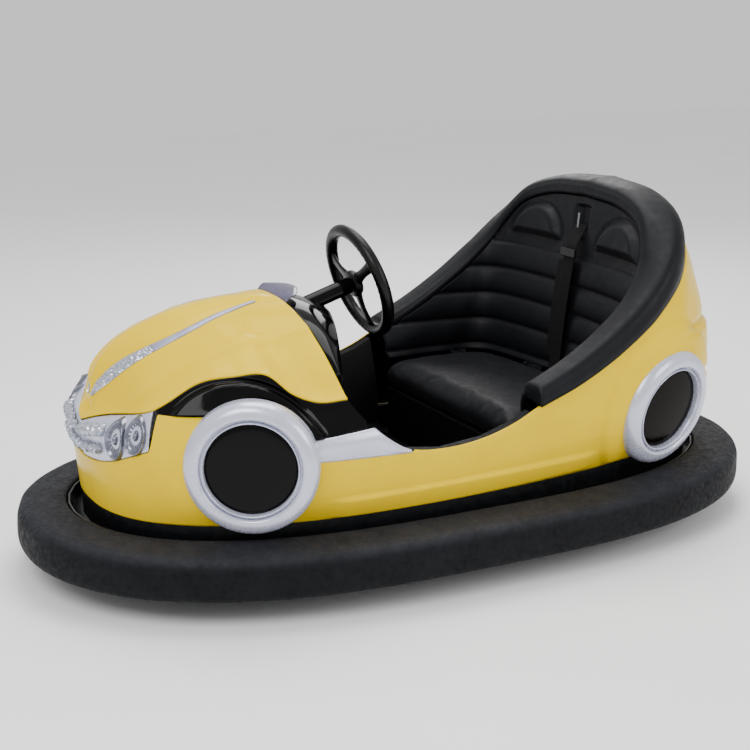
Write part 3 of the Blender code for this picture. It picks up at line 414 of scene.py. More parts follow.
def along_base(table, run):
    """Values of a table of the base plan, read at a distance along it."""
    return np.stack([np.interp(run, BASE_RUN, table[:, k]) for k in range(2)], axis=-1)


def body_side(run, z, inset=0.0):
    """The body's side: base plan at a run, moved out by a swell that depends on height and station."""
    run, z = np.broadcast_arrays(np.asarray(run, float), np.asarray(z, float))
    plan, normal = along_base(BASE_POINTS, run), along_base(BASE_NORMALS, run)
    rows = through(z, SWELL_Z, np.array(SWELL).T)
    y = np.clip(plan[..., 1], SWELL_Y[0], SWELL_Y[-1])
    keys = np.array(SWELL_Y)
    steps = np.diff(rows, axis=-1) / np.diff(keys)
    between = (steps[..., :-1] + steps[..., 1:]) / 2
    slopes = np.concatenate([steps[..., :1], between, steps[..., -1:]], axis=-1)
    i, span, t = interval(y, keys)
    swell = cubic(t, span, *(np.take_along_axis(table, index[..., None], axis=-1)[..., 0]
                             for index in (i, i + 1) for table in (rows, slopes)))
    at = plan + (swell - inset)[..., None] * normal
    at[..., 0] = np.where(plan[..., 0] < 1e-6, 0.0, at[..., 0])
    return np.concatenate([at, z[..., None]], axis=-1)


FRONT = BASE_POINTS[:, 1] < BODY_MID_Y
LAMP_RUN = np.interp(0.232, BASE_POINTS[FRONT, 0], BASE_RUN[FRONT])
LAMP_RAMP, ARCH_LOW_Z = 0.016, 0.447
TRIM_FRONT_RUN, TRIM_REAR_RUN = run_at_y(-0.63), run_at_y(-0.50)
CORNER_RUN, SILL_TIP_RUN, SEAT_RUN = run_at_y(-0.335), run_at_y(-0.185), run_at_y(0.140)
END_RUN = BASE_RUN[-1]


def lamp_low_z(run):
    """The lamp band's lower edge: a curve that rises towards the body's corner."""
    return through(run, (0, LAMP_RUN * 0.5, LAMP_RUN), (0.300, 0.318, 0.365))


def bonnet_edge_z(run):
    """The bonnet's lower edge: over the lamps, up over the arch and down to its rear corner."""
    keys = [0, LAMP_RUN * 0.3, LAMP_RUN, *run_at_y([-0.66, -0.58, -0.51, -0.455, -0.40, -0.335])]
    return through(run, keys, (0.389, 0.415, 0.456, 0.514, 0.529, 0.531, 0.488, 0.468, 0.470))


def opening_z(run):
    """The cockpit opening's edge: a dip between the bonnet and the seat rim."""
    keys = run_at_y([-0.335, -0.295, -0.25, -0.20, -0.11, 0.0, 0.08, 0.14])
    return through(run, keys, (0.470, 0.417, 0.376, 0.346, 0.333, 0.343, 0.368, 0.398))


def silver_low_z(run):
    """The silver sill's lower edge, which falls a little towards its tip."""
    return through(run, [run_at_y(-0.57), run_at_y(-0.42), SILL_TIP_RUN], (0.350, 0.346, 0.336))


def silver_high_z(run):
    """The silver sill's upper edge, which rises a little towards its tip."""
    return through(run, run_at_y([-0.57, -0.42, -0.285]), (0.385, 0.398, 0.408))


def ramp(run, start, stop, low, high):
    """From low to high by a smooth step of the distance along the base."""
    return low + (high - low) * smooth_step(run, start, stop)


PAD_PATH = (
    (0.400, 0.145, 0.398), (0.402, 0.250, 0.440), (0.400, 0.360, 0.500), (0.390, 0.455, 0.570),
    (0.360, 0.530, 0.648), (0.295, 0.582, 0.715), (0.175, 0.612, 0.755), (0.000, 0.620, 0.770),
)
PAD_HALF_WIDTH = (0.040, 0.042, 0.044, 0.048, 0.052, 0.057, 0.062, 0.065)
PAD_HEIGHT = (0.085, 0.085, 0.086, 0.088, 0.090, 0.090, 0.089, 0.088)
PAD_SEAM = (0.008, 0.022, 0.032, 0.036, 0.038, 0.040, 0.042, 0.042)


def pad_line(count):
    """The padded rim's left half: points, outward plan normals, half widths, heights and seam heights."""
    points = np.array(PAD_PATH)
    keys = lengths_along(points)
    at = np.linspace(0, keys[-1], count)
    path = through(at, keys, points)
    path[-1, 0] = 0.0
    ahead = np.gradient(path[:, :2], axis=0)
    ahead[-1] = (-1, 0)
    shares = (through(at, keys, values) for values in (PAD_HALF_WIDTH, PAD_HEIGHT, PAD_SEAM))
    return path, turned_right(ahead), *shares


def body_top_z(run):
    """The yellow moulding's top edge: under the lamps, the arch, the sill, the opening and the seat rim."""
    lamp = ramp(run, LAMP_RUN, LAMP_RUN + LAMP_RAMP, lamp_low_z(run), ARCH_LOW_Z)
    arch = ramp(run, TRIM_FRONT_RUN, TRIM_REAR_RUN, ARCH_LOW_Z, silver_low_z(run))
    fine = pad_line(400)[0]
    z = np.full_like(run, 0.6)
    for _ in range(14):
        plan = body_side(run, z)[:, :2]
        nearest = np.argmin(np.linalg.norm(plan[:, None] - fine[None, :, :2], axis=2), axis=1)
        z = 0.5 * z + 0.5 * (fine[nearest, 2] - 0.0006)
    stretches = [run < LAMP_RUN + LAMP_RAMP, run < SILL_TIP_RUN, run < SEAT_RUN]
    return np.select(stretches, [lamp, arch, opening_z(run)], z)


def trim_frames():
    """Name, centre and outward direction of the four dummy wheels, as fixed numbers found from the boxes of
    their rings.
    """
    for end, centre, yaw, pitch in (("front", FRONT_WHEEL, -28.9, 0.7),
                                    ("rear", REAR_WHEEL, 14.3, -10.6)):
        yaw, pitch = math.radians(yaw), math.radians(pitch)
        out = np.array((math.cos(yaw) * math.cos(pitch), math.sin(yaw) * math.cos(pitch), math.sin(pitch)))
        for side, flip in SIDES:
            yield f"{end}_{side}", np.array(centre) * flip, out * flip


TRIM_R, TRIM_SUNK, TRIM_LAP, TRIM_REACH = 0.150, 0.034, 0.010, 0.09


def outside_trims(points, quads):
    """The quads that no dummy wheel covers: their middle is further from each axis than the hidden radius."""
    middle = points.reshape(-1, 3)[quads].mean(axis=1)
    keep = np.ones(len(quads), bool)
    for _, centre, out in trim_frames():
        away = middle - centre
        depth = away @ out
        radius = np.linalg.norm(away - depth[:, None] * out, axis=1)
        keep &= ~((radius < TRIM_R - TRIM_LAP) & (depth > -TRIM_REACH))
    return quads[keep]


def drop_unused(points, quads):
    """The points that some quad uses, with the quads renumbered."""
    used, index = np.unique(quads, return_inverse=True)
    return points.reshape(-1, 3)[used], index.reshape(quads.shape)


def flank_relief(points):
    """How far the moulded detail stands out: a rear fender, a low ledge and two grooves round the tail."""
    x, y, z = np.abs(points[..., 0]), points[..., 1], points[..., 2]
    round_wheel = np.hypot(y - REAR_WHEEL[1], (z - REAR_WHEEL[2]) / 1.05)
    fender = 0.010 * (1 - smooth_step(round_wheel, 0.194, 0.212)) * smooth_step(x, 0.2, 0.3)
    ledge = (0.007 * (1 - smooth_step(z, 0.244, 0.254)) * smooth_step(y, -0.40, -0.34)
             * (1 - smooth_step(y, 0.30, 0.36)))
    groove = bell(z, 0.520, 0.010) + 0.8 * bell(z, 0.392, 0.008)
    tail = smooth_step(y, 0.56, 0.66)
    step = 0.008 * smooth_step(z, 0.500, 0.540) * (1 - smooth_step(z, 0.60, 0.70))
    return fender + ledge - (0.010 * groove + step) * tail


def normals_of(points, wrap):
    """Unit normals of a grid, from the cross product of its two directions."""
    if wrap:
        across = np.roll(points, -1, axis=1) - np.roll(points, 1, axis=1)
    else:
        across = np.gradient(points, axis=1)
    up = np.gradient(points, axis=0)
    normal = np.cross(across, up)
    return normal / (np.linalg.norm(normal, axis=-1, keepdims=True) + 1e-12)


def full_ring(half):
    """A left half, nose to tail, as a closed ring: the right half is its mirror, back to the nose."""
    return np.concatenate([half, half[:, -2:0:-1] * MIRROR], axis=1)


def make_body():
    """The yellow moulding: heights shared evenly between its base and top edge, relief on its normal."""
    run = np.unique(np.r_[np.linspace(0, END_RUN, 300), LAMP_RUN + LAMP_RAMP * np.linspace(0, 1, 8)])
    share = np.linspace(0, 1, 60)[:, None]
    z = BODY_BASE_Z + share * (body_top_z(run)[None] - BODY_BASE_Z)
    half = body_side(run[None], z)
    ring = full_ring(half)
    normal = normals_of(ring, True)
    fade = smooth_step(share[..., None], 0, 0.06)
    ring = ring + normal * (flank_relief(ring)[..., None] * fade)
    quads = outwards(ring, grid_faces(*ring.shape[:2], wrap=True))
    points, quads = drop_unused(ring, outside_trims(ring, quads))
    body = make("body_moulding", points, quads, YELLOW)
    body.data.materials.append(BLACK_GLOSS)
    wall(body, SHELL_WALL).modifiers["wall"].material_offset = 1
    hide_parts("body_shell")


def side_panel(name, run, low, high, rows, finish_used, relief):
    """A panel on the body's side, left then right, its heights shared out evenly between two edges."""
    made = []
    share = np.linspace(0, 1, rows)[:, None]
    z = low(run)[None] + share * (high(run) - low(run))[None]
    left = body_side(run[None], z)
    left = left + normals_of(left, False) * relief(left, share)[..., None]
    for side, flip in SIDES:
        points = left * flip
        quads = outwards(points, grid_faces(*points.shape[:2]), centre=(0, -0.2, 0.3))
        points, quads = drop_unused(points, outside_trims(points, quads))
        made.append(wall(make(f"{name}_{side}", points, quads, finish_used), SHELL_WALL))
    return made


def make_side_panels():
    """The black arches, whose roll is a function of the distance from the wheel, and the silver sills."""
    arch_end = run_at_y(-0.303)
    arch_run = np.linspace(LAMP_RUN + LAMP_RAMP * 0.6, arch_end, 120)

    def arch_low(run):
        return ramp(run, TRIM_FRONT_RUN, TRIM_REAR_RUN, ARCH_LOW_Z, silver_high_z(run)) + 0.0015

    def arch_high(run):
        return np.where(run < CORNER_RUN, bonnet_edge_z(run), opening_z(run)) - PANEL_GAP

    def arch_relief(points, share):
        """A step and a rounded roll that follow the wheel ring: bells of the distance from its middle."""
        away = np.hypot(points[..., 1] - FRONT_WHEEL[1], points[..., 2] - FRONT_WHEEL[2])
        return 0.006 * (1 - smooth_step(away, 0.163, 0.172)) - 0.004 * bell(away, 0.176, 0.005)

    arches = side_panel("wheel_arch", arch_run, arch_low, arch_high, 40, BLACK_GLOSS, arch_relief)
    silver_run = np.linspace(TRIM_REAR_RUN - 0.02, SILL_TIP_RUN - 0.012, 90)

    def silver_high(run):
        return np.where(run < arch_end, silver_high_z(run), np.minimum(silver_high_z(run), opening_z(run)))

    def silver_relief(points, share):
        """A shallow round: the sine of the share of its height."""
        return 0.0035 * np.sin(math.pi * share) * np.ones(points.shape[:2])

    sills = side_panel("silver_sill", silver_run, silver_low_z, silver_high, 16, SILVER, silver_relief)
    for pieces, node in ((arches, "wheel_arch_panel"), (sills, "silver_sill_panel")):
        for piece, side in zip(pieces, ("left", "right")):
            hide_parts(f"{node}_{side}")


def bonnet_ribs(run, rows):
    """The bonnet as ribs from its lower edge to the spine, each a cubic Bezier arch, with moulded relief."""
    share = run / CORNER_RUN
    edge = body_side(run, bonnet_edge_z(run) + 0.0003)
    spine = through(share, (0, 0.12, 0.3, 0.55, 0.8, 1.0), (
        (0, -0.806, 0.400), (0, -0.796, 0.480), (0, -0.740, 0.556), (0, -0.620, 0.609),
        (0, -0.470, 0.634), (0, -0.348, 0.636),
    ))
    stations = (0, 0.12, 0.3, 0.6, 1.0)
    rise = through(share, stations, (0.020, 0.014, 0.009, 0.004, 0.004))
    lean = through(share, stations, (0.012, 0.018, 0.027, 0.039, 0.041))
    reach = through(share, (0, 0.06, 0.15, 0.3, 0.6, 1.0), (0.0, 0.004, 0.011, 0.038, 0.109, 0.235))
    fall = through(share, stations, (0.004, 0.005, 0.008, 0.008, -0.005))
    normal = along_base(BASE_NORMALS, run)
    low_hand = edge + np.c_[-lean[:, None] * normal, rise]
    high_hand = spine + np.stack([reach, np.zeros_like(reach), -fall], axis=1)
    t = np.linspace(0, 1, rows)[:, None, None]
    ribs = ((1 - t) ** 3 * edge + 3 * (1 - t) ** 2 * t * low_hand
            + 3 * (1 - t) * t**2 * high_hand + t**3 * spine)
    ribs[..., 0] = np.maximum(ribs[..., 0], 0.0)
    ribs[:, share < 1e-9, 0] = 0.0
    ribs[-1, :, 0] = 0.0
    return ribs


STRIP_SHARE = (0.075, 0.12, 0.17, 0.26, 0.40, 0.48, 0.57, 0.74, 0.90)
STRIP_X = (0.012, 0.022, 0.035, 0.055, 0.083, 0.094, 0.096, 0.078, 0.047)
STRIP_HALF = (0.003, 0.008, 0.011, 0.0130, 0.0125, 0.0110, 0.0100, 0.0085, 0.005)


def bonnet_relief(points, share):
    """Moulded relief: a valley along each light strip, a raised spine and a soft outer crease."""
    x = np.abs(points[..., 0])
    middle = through(share, STRIP_SHARE, STRIP_X)[None]
    live = (smooth_step(share, 0.04, 0.12) * (1 - smooth_step(share, 0.93, 1.0)))[None]
    valley = -0.005 * bell(x, middle, 0.017) * live
    spine = 0.0045 * bell(x, 0, 0.6 * middle + 0.012) * live
    crease_x = through(share, (0.15, 0.3, 0.5, 0.75, 1.0), (0.10, 0.155, 0.195, 0.205, 0.200))[None]
    crease = 0.008 * bell(x, crease_x, 0.018) * smooth_step(share, 0.15, 0.35)[None] * (1 - 0.6 * share)[None]
    return valley + spine + crease


def bonnet_surface(run, rows):
    """The bonnet's ribs moved along their normals by the relief, fading out at the lower edge."""
    ribs = bonnet_ribs(run, rows)
    normal = normals_of(ribs, False)
    normal *= np.sign(np.sum(normal * (ribs - BONNET_MIDDLE), axis=-1, keepdims=True))
    share = run / CORNER_RUN
    fade = smooth_step(np.linspace(0, 1, rows), 0.0, 0.12)[:, None]
    moved = ribs + normal * (bonnet_relief(ribs, share) * fade)[..., None]
    moved[-1, :, 0] = 0.0
    moved[:, 0, 0] = 0.0
    return moved, normal


def make_bonnet():
    """The bonnet's left half and its mirror, joined at the spine, with a wall."""
    run = np.linspace(0, CORNER_RUN, 150)
    half, _ = bonnet_surface(run, 90)
    bonnet = repaired(sheet("bonnet_moulding", with_mirror(half), BONNET_MIDDLE, YELLOW, SHELL_WALL))
    face_away(bonnet, BONNET_MIDDLE)
    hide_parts("bonnet")


def face_away(obj, centre):
    """Turns a sheet over if most of it faces its centre."""
    mesh = obj.data
    if np.sum(read(mesh.polygons, "normal") * (read(mesh.polygons, "center") - centre)) < 0:
        mesh.flip_normals()


def make_strips():
    """The light strips: the bonnet's surface sampled at the strip's middle plus its share of the width."""
    generator = np.random.default_rng(5)
    for kind, start, stop, along_count, finish_used in (
        ("crystal", 0.075, 0.43, 44, CRYSTAL), ("plain", 0.43, 0.90, 60, STRIP_SILVER),
    ):
        share = np.linspace(start, stop, along_count)
        surface, normal = bonnet_surface(np.r_[0, share] * CORNER_RUN, 240)
        surface, normal = surface[:, 1:], normal[:, 1:]
        middle, half = through(share, STRIP_SHARE, STRIP_X), through(share, STRIP_SHARE, STRIP_HALF)
        step = np.linspace(-1, 1, 7)
        picked = np.empty((along_count, len(step), 3))
        out = np.empty_like(picked)
        for i in range(along_count):
            rib = surface[::-1, i]
            upper = slice(0, np.argmax(rib[:, 0]) + 1)
            at = middle[i] + step * half[i]
            for table, into in ((rib, picked), (normal[::-1, i], out)):
                into[i] = np.stack([np.interp(at, rib[upper, 0], table[upper, k]) for k in range(3)], axis=1)
        crown = 0.0035 * (1 - step**2)[None] + 0.0012
        if kind == "crystal":
            facets = generator.uniform(-0.0016, 0.0032, (along_count, len(step)))
            crown = crown + facets * (np.abs(step) < 0.9)
        picked = picked + out * crown[..., None]
        for side, flip in SIDES:
            strip = sheet(f"bonnet_strip_{kind}_{side}", picked * flip, (0, -0.45, 0.3), finish_used, 0.004,
                          smooth=kind == "plain")
            if kind == "crystal":
                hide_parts(f"bonnet_lamp_{side}")


def make_lamps():
    """The lamp band, and on it lamps whose height over the band is a profile of their elliptical radius."""
    run = np.linspace(0, LAMP_RUN - 0.001, 90)
    share = np.linspace(0, 1, 26)[:, None]
    low, high = lamp_low_z(run) + 0.0005, bonnet_edge_z(run) - PANEL_GAP
    half = body_side(run[None], low[None] + share * (high - low)[None], 0.003)
    whole = with_mirror(half, axis=1, first=True)
    whole = whole + normals_of(whole, False) * (0.003 * np.sin(math.pi * share) ** 0.5)[..., None]
    band = sheet("headlamp_band_plate", whole, LAMP_MIDDLE, SILVER, 0.004)
    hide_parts("headlamp_band")

    radius_keys = (0.0, 0.12, 0.22, 0.30, 0.55, 0.78, 0.84, 0.92, 1.0)
    height_keys = (0.0075, 0.0066, 0.0020, -0.0016, 0.0000, 0.0042, 0.0085, 0.0085, -0.003)
    lamps = []
    half_run = 0.0265
    r, turn = np.linspace(1, 0.0, 26)[:, None], turns(72)[None]
    for back in (0.034, 0.088):
        at = LAMP_RUN - back
        middle = (lamp_low_z(at) + bonnet_edge_z(at)) / 2 - 0.002
        half_z = 0.455 * (bonnet_edge_z(at) - lamp_low_z(at))
        run_at = at + half_run * r * squared_off(np.cos(turn), 0.9)
        z_at = middle + half_z * r * np.sin(turn)
        height = through(r, radius_keys, height_keys) + 0.0007 * np.cos(18 * turn) * bell(r, 0.55, 0.16)
        lamps.append(body_side(run_at, z_at, -height - 0.001))
    for side, flip in SIDES:
        lamp = repaired(make(f"headlamps_{side}", *joined([
            (points, outwards(points, grid_faces(*points.shape[:2], wrap=True), centre=LAMP_MIDDLE))
            for points in (lamp * flip for lamp in lamps)
        ]), CHROME))
        face_away(lamp, LAMP_MIDDLE)
        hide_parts(f"headlamp_{side}")
    crystals(np.random.default_rng(11))


def crystals(generator):
    """Small moulded crystals between the lamps: low faceted domes, each a short grid of uneven radii."""
    turn = turns(7)[None]
    rise = np.linspace(0, 1, 4)[:, None]
    grids = []
    for row, height_share in enumerate((0.30, 0.70)):
        for run in np.arange(0.012 + 0.011 * row, LAMP_RUN - 0.128, 0.023):
            size = 0.0125 + 0.002 * generator.uniform(-1, 1)
            span = bonnet_edge_z(run) - lamp_low_z(run)
            z = lamp_low_z(run) + height_share * span
            reach = size * np.cos(rise * math.pi / 2 * 0.93) * generator.uniform(0.82, 1.12, (4, 7))
            uneven = generator.uniform(0.85, 1.1, (4, 7))
            out = 0.002 + 0.016 * np.sin(rise * math.pi / 2) * np.ones((1, 7)) * uneven
            points = body_side(np.abs(run + reach * np.cos(turn)), z + 1.25 * reach * np.sin(turn), -out)
            points[..., 0] *= np.where(run + reach * np.cos(turn) < 0, -1, 1)
            for _, flip in SIDES:
                shown = points * flip
                centre = shown.reshape(-1, 3).mean(axis=0) + (0, 0.02, 0)
                grids.append((shown, outwards(shown, grid_faces(4, 7, wrap=True), centre=centre)))
    repaired(make("lamp_crystals", *joined(grids), CRYSTAL, smooth=False), merge=0, fill=True)


def lathe(name, profile, centre, axis, finish_used, steps=96):
    """A closed profile of (radius, distance along the axis) turned round the axis through centre."""
    axis = np.asarray(axis, float)
    axis /= np.linalg.norm(axis)
    side = np.cross(axis, (0, 0, 1) if abs(axis[2]) < 0.9 else (0, 1, 0))
    side /= np.linalg.norm(side)
    profile = np.array(profile)
    if profile[0, 0] > 0:
        profile = np.concatenate([profile, profile[:1]])
    ring = circle(turns(steps), side, np.cross(axis, side))
    points = centre + profile[:, None, 0:1] * ring[None] + profile[:, None, 1:2] * axis
    return sharp(repaired(make(name, points, grid_faces(len(profile), steps, wrap=True), finish_used)))


def rounded(profile, steps=6):
    """A closed profile with each side cut into steps by a smooth curve through its points."""
    profile = np.array(profile)
    keys = np.arange(len(profile))
    return through(np.linspace(0, len(profile) - 1, (len(profile) - 1) * steps + 1), keys, profile)


def make_trims():
    """Each dummy wheel as two turned profiles: a ring with an inner lip, and a slightly domed disc."""
    face = rounded(((TRIM_R, -0.012), (0.1488, -0.004), (0.1440, 0.0045), (0.1370, 0.0110), (0.1290, 0.0145),
                    (0.1200, 0.0160), (0.1155, 0.0145), (0.1125, 0.0100), (0.1115, 0.0025)), 4)
    lip = rounded(((0.1088, 0.0025), (0.1078, 0.0100), (0.1062, 0.0128), (0.1042, 0.0112),
                   (0.1028, 0.0070)), 3)
    ring = np.concatenate([[(TRIM_R, -TRIM_SUNK)], face, lip, [(0.1028, -0.010), (0.140, -TRIM_SUNK)]])
    disc = rounded(((0.0, 0.0038), (0.030, 0.0034), (0.060, 0.0024), (0.090, 0.0008), (0.1000, -0.0010),
                    (0.1024, -0.0030)), 4)
    disc = np.concatenate([disc, [(0.1024, -0.0075), (0.0, -0.0075)]])
    for name, centre, out in trim_frames():
        trim = lathe(f"wheel_ring_{name}", ring, centre, out, SILVER)
        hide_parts(f"wheel_trim_{name}")
        cover = lathe(f"wheel_cover_{name}", disc, centre, out, DISC_REAR if "rear" in name else DISC)
        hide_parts(f"wheel_disc_{name}")


def bumper_ring(section, count=360):
    """A section of (inset, height) carried round the bumper's plan, moved in along the plan's normal."""
    low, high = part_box("rubber_bumper")
    half_x, half_y = (high[0] - low[0]) / 2, (high[1] - low[1]) / 2
    turn = turns(6000)
    dense = np.stack([half_x * squared_off(np.cos(turn), 2 / 2.05),
                      half_y * squared_off(np.sin(turn), 2 / 2.94)], axis=1)
    closed = np.concatenate([dense, dense[:1]])
    run = lengths_along(closed)
    at = np.linspace(0, run[-1], count, endpoint=False)
    plan = np.stack([np.interp(at, run, closed[:, k]) for k in range(2)], axis=1)
    normal = turned_right(np.roll(plan, -1, axis=0) - np.roll(plan, 1, axis=0))
    xy = plan[None] - section[:, 0, None, None] * normal[None]
    z = np.broadcast_to(section[:, 1, None, None], (*xy.shape[:2], 1))
    return np.concatenate([xy, z], axis=-1), at


def make_bumper():
    """The rubber ring: a rounded section with a moulded lip, and shallow dents round its plan."""
    outer = rounded(((0.040, 0.0605), (0.020, 0.064), (0.008, 0.072), (0.002, 0.084), (0.000, 0.100),
                     (0.0005, 0.130), (0.002, 0.146), (0.007, 0.156), (0.016, 0.1625), (0.026, 0.1650)), 4)
    top = rounded(((0.030, 0.1668), (0.060, 0.1690), (0.090, 0.1712), (0.108, 0.1718), (0.1150, 0.1700),
                   (0.1185, 0.1650)), 3)
    inner = [(0.1195, 0.158), (0.1195, 0.090), (0.104, 0.064), (0.070, 0.0605)]
    section = np.concatenate([outer, top, inner])
    points, at = bumper_ring(section)
    points = np.concatenate([points, points[:1]])
    outward = np.zeros_like(points)
    outward[..., :2] = points[..., :2] / np.linalg.norm(points[..., :2], axis=-1, keepdims=True)
    wave = 0.0014 * np.sin(at * 9.0 + 1.0) + 0.0010 * np.sin(at * 23.0) + 0.0006 * np.sin(at * 51.0)
    inset = np.r_[section[:, 0], section[0, 0]][:, None, None]
    rim = bell(points[..., 2:3], 0.150, 0.03) * (1 - smooth_step(inset, 0.01, 0.05))
    shaped = points - outward * np.abs(wave[None, :, None]) * rim
    ring = repaired(make("bumper_ring", shaped, grid_faces(*shaped.shape[:2], wrap=True), RUBBER))
    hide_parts("rubber_bumper")


def make_bolster():
    """The padded rim: a domed section carried along the seat's edge, its inner seam above its outer one."""
    path, normal, width, height, seam = pad_line(110)
    arch = np.linspace(0, math.pi, 26)
    across = squared_off(np.cos(arch), 0.62)
    height = height * through(np.linspace(0, 1, len(height)), (0, 0.14, 0.28, 0.45, 0.65, 1.0),
                              (0.56, 0.66, 0.75, 0.85, 0.95, 1.0))
    under = seam[:, None] * (1 - across[None]) / 2
    crown = under + (height[:, None] - under) * np.sin(arch)[None] ** 0.62
    base = np.linspace(-1, 1, 12)[1:-1]
    base_under = seam[:, None] * (1 - base[None]) / 2 + 0.002
    u = np.concatenate([width[:, None] * across[None], width[:, None] * base[None]], axis=1)
    stitch = 0.0030 * bell(np.concatenate([arch, np.zeros(len(base))]), 2.62, 0.07)[None]
    v = np.concatenate([crown, base_under], axis=1) - stitch
    half = np.stack([path[:, None, 0] + u * normal[:, None, 0], path[:, None, 1] + u * normal[:, None, 1],
                     path[:, None, 2] + v], axis=-1)
    first = half[:1].mean(axis=1, keepdims=True)
    blunt = [first + (half[:1] - first) * size + np.array((0, -reach, 0)) for size, reach in
             ((0.0, 0.004), (0.35, 0.0038), (0.70, 0.0030), (0.92, 0.0014))]
    whole = with_mirror(np.concatenate([*blunt, half]))
    pad = repaired(make("seat_rim_pad", whole, grid_faces(*whole.shape[:2], wrap=True), VINYL))
    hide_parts("seat_bolster")


CHANNEL_Z, CHANNEL_PITCH, HEADREST_Z = np.array((0.358, 0.428, 0.501, 0.573, 0.646)), 0.0722, 0.676


def quilting(points):
    """How far the back's padding stands out: channels between level seams, and half-oval headrests."""
    x, z = np.abs(points[..., 0]), points[..., 2]
    seams = np.sum([bell(z, level, 0.0055) for level in CHANNEL_Z], axis=0)
    between = np.abs(np.sin((z - CHANNEL_Z[0]) / CHANNEL_PITCH * math.pi))
    zone = 1 - smooth_step(z, 0.646, 0.656)
    channel = (0.010 * between**0.5 - 0.003 * seams) * zone
    reach = np.sqrt(((x - 0.185) / 0.105) ** 2 + np.clip((z - HEADREST_Z) / 0.094, 0, None) ** 2)
    edge = np.maximum(reach - 1, (HEADREST_Z - z) / 0.1)
    headrest = 0.017 * (1 - smooth_step(edge, -0.24, 0.0)) - 0.005 * bell(edge, 0.02, 0.05)
    headrest = headrest * smooth_step(z, 0.66, 0.68)
    slot = (0.016 * (1 - smooth_step(x, 0.024, 0.029)) * smooth_step(z, 0.695, 0.704)
            * (1 - smooth_step(z, 0.780, 0.788)))
    return channel * (0.35 + 0.65 * smooth_step(x, 0.030, 0.050)) + headrest - slot


def seat_foot(count):
    """The plan of the seat back's foot, from its front end to the middle."""
    turn = np.linspace(0, 1, count)
    return np.stack([through(turn, (0, 0.35, 0.7, 0.85, 1.0), (0.336, 0.342, 0.300, 0.180, 0.0)),
                     through(turn, (0, 0.35, 0.7, 1.0), (0.152, 0.302, 0.444, 0.488))], axis=1)


def make_back():
    """The seat's back and sides: straight lines from the foot to the rim's inner seam, plus the quilting."""
    count = 130
    path, normal, width, _, seam = pad_line(count)
    top = np.c_[path[:, :2] - (width[:, None] - 0.004) * normal, path[:, 2] + 0.80 * seam + 0.004]
    low = np.c_[seat_foot(count), np.full(count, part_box("seat_back")[0][2])]
    share = np.linspace(0, 1, 125)[:, None, None]
    whole = with_mirror(low + share * (top - low), axis=1)
    facing = normals_of(whole, False)
    facing *= np.sign(np.sum(facing * (np.array((0, 0.25, 0.6)) - whole), axis=-1, keepdims=True))
    moved = whole + facing * quilting(whole)[..., None]
    quads = outwards(moved, grid_faces(*moved.shape[:2]), centre=(0, 0.25, 0.5))[:, ::-1]
    back = make("seat_back_quilted", moved, quads, VINYL)
    wall(back, 0.012)
    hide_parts("seat_back")


def inflate(obj, pressure, cap):
    """Voxels, then cloth under pressure, with no point moved further than the cap."""
    voxel, frames = 0.006, 20
    remesh = obj.modifiers.new("remesh", "REMESH")
    remesh.mode = "VOXEL"
    remesh.voxel_size = voxel
    evaluated = obj.evaluated_get(bpy.context.evaluated_depsgraph_get())
    even = bpy.data.meshes.new_from_object(evaluated)
    obj.modifiers.remove(remesh)
    obj.data = even
    before = read(even.vertices, "co")
    cloth = obj.modifiers.new("cloth", "CLOTH")
    cloth.settings.use_pressure = True
    cloth.settings.uniform_pressure_force = pressure
    cloth.settings.effector_weights.gravity = 0
    cloth.settings.quality = 4
    for number in range(1, frames + 1):
        bpy.context.scene.frame_set(number)
    shape = obj.evaluated_get(bpy.context.evaluated_depsgraph_get()).to_mesh()
    move = read(shape.vertices, "co") - before
    obj.modifiers.remove(cloth)
    size = np.linalg.norm(move, axis=1, keepdims=True)
    move *= np.minimum(1, cap / np.maximum(size, 1e-9))
    even.vertices.foreach_set("co", (before + move).ravel())
    bpy.context.scene.frame_set(1)
    even.update()


def make_cushion():
    """The bench cushion: its plan runs inside the foot of the seat back, and its side, a profile of
    (distance in from the plan, share of the height), rolls over into a crown, highest in the middle."""
    low, high = (np.array(corner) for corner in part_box("seat_cushion"))
    foot = seat_foot(60) - (0.006, 0.006)
    foot[-1, 0] = 0.0
    roll = np.linspace(0, math.pi / 2, 14)
    corner = np.stack([foot[0, 0] - 0.030 + 0.030 * np.sin(roll),
                       low[1] + 0.036 - 0.030 * np.cos(roll)], axis=1)
    front = np.stack([np.linspace(0, corner[0, 0], 22)[:-1], np.full(21, corner[0, 1])], axis=1)
    half = np.concatenate([front, corner, foot[1:]])
    plan = np.concatenate([half, (half[1:-1] * MIRROR[:2])[::-1]])
    middle = np.array((0.0, (low[1] + high[1]) / 2))
    away = plan - middle
    reach = np.linalg.norm(away, axis=1, keepdims=True)
    profile = rounded(((0.200, 0.0), (0.030, 0.0), (0.012, 0.03), (0.003, 0.20), (0.0, 0.42), (0.003, 0.62),
                       (0.011, 0.80), (0.024, 0.92), (0.050, 1.0), (0.110, 1.04), (0.200, 1.06)), 3)
    share = np.clip(1 - profile[:, 0, None, None] / np.minimum(reach, 0.22)[None], 0.02, 1)
    xy = middle + away[None] * share
    z = low[2] + 0.002 + (high[2] - low[2] - 0.006) * profile[:, 1, None, None] * np.ones_like(xy[..., :1])
    points = pinched(np.concatenate([xy, z], axis=2))
    cushion = repaired(make("seat_cushion_pad", points, grid_faces(*points.shape[:2], wrap=True), VINYL))
    inflate(cushion, 3.0, 0.008)
    box_clip(cushion, low, high)
    cushion.data.shade_smooth()
    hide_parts("seat_cushion")


def box_clip(obj, low, high):
    """Keeps a soft piece inside its box, flat where it rests on its base."""
    at = np.clip(read(obj.data.vertices, "co"), low, np.array(high) + (0, 0, 0.008))
    obj.data.vertices.foreach_set("co", at.ravel())
    obj.data.update()


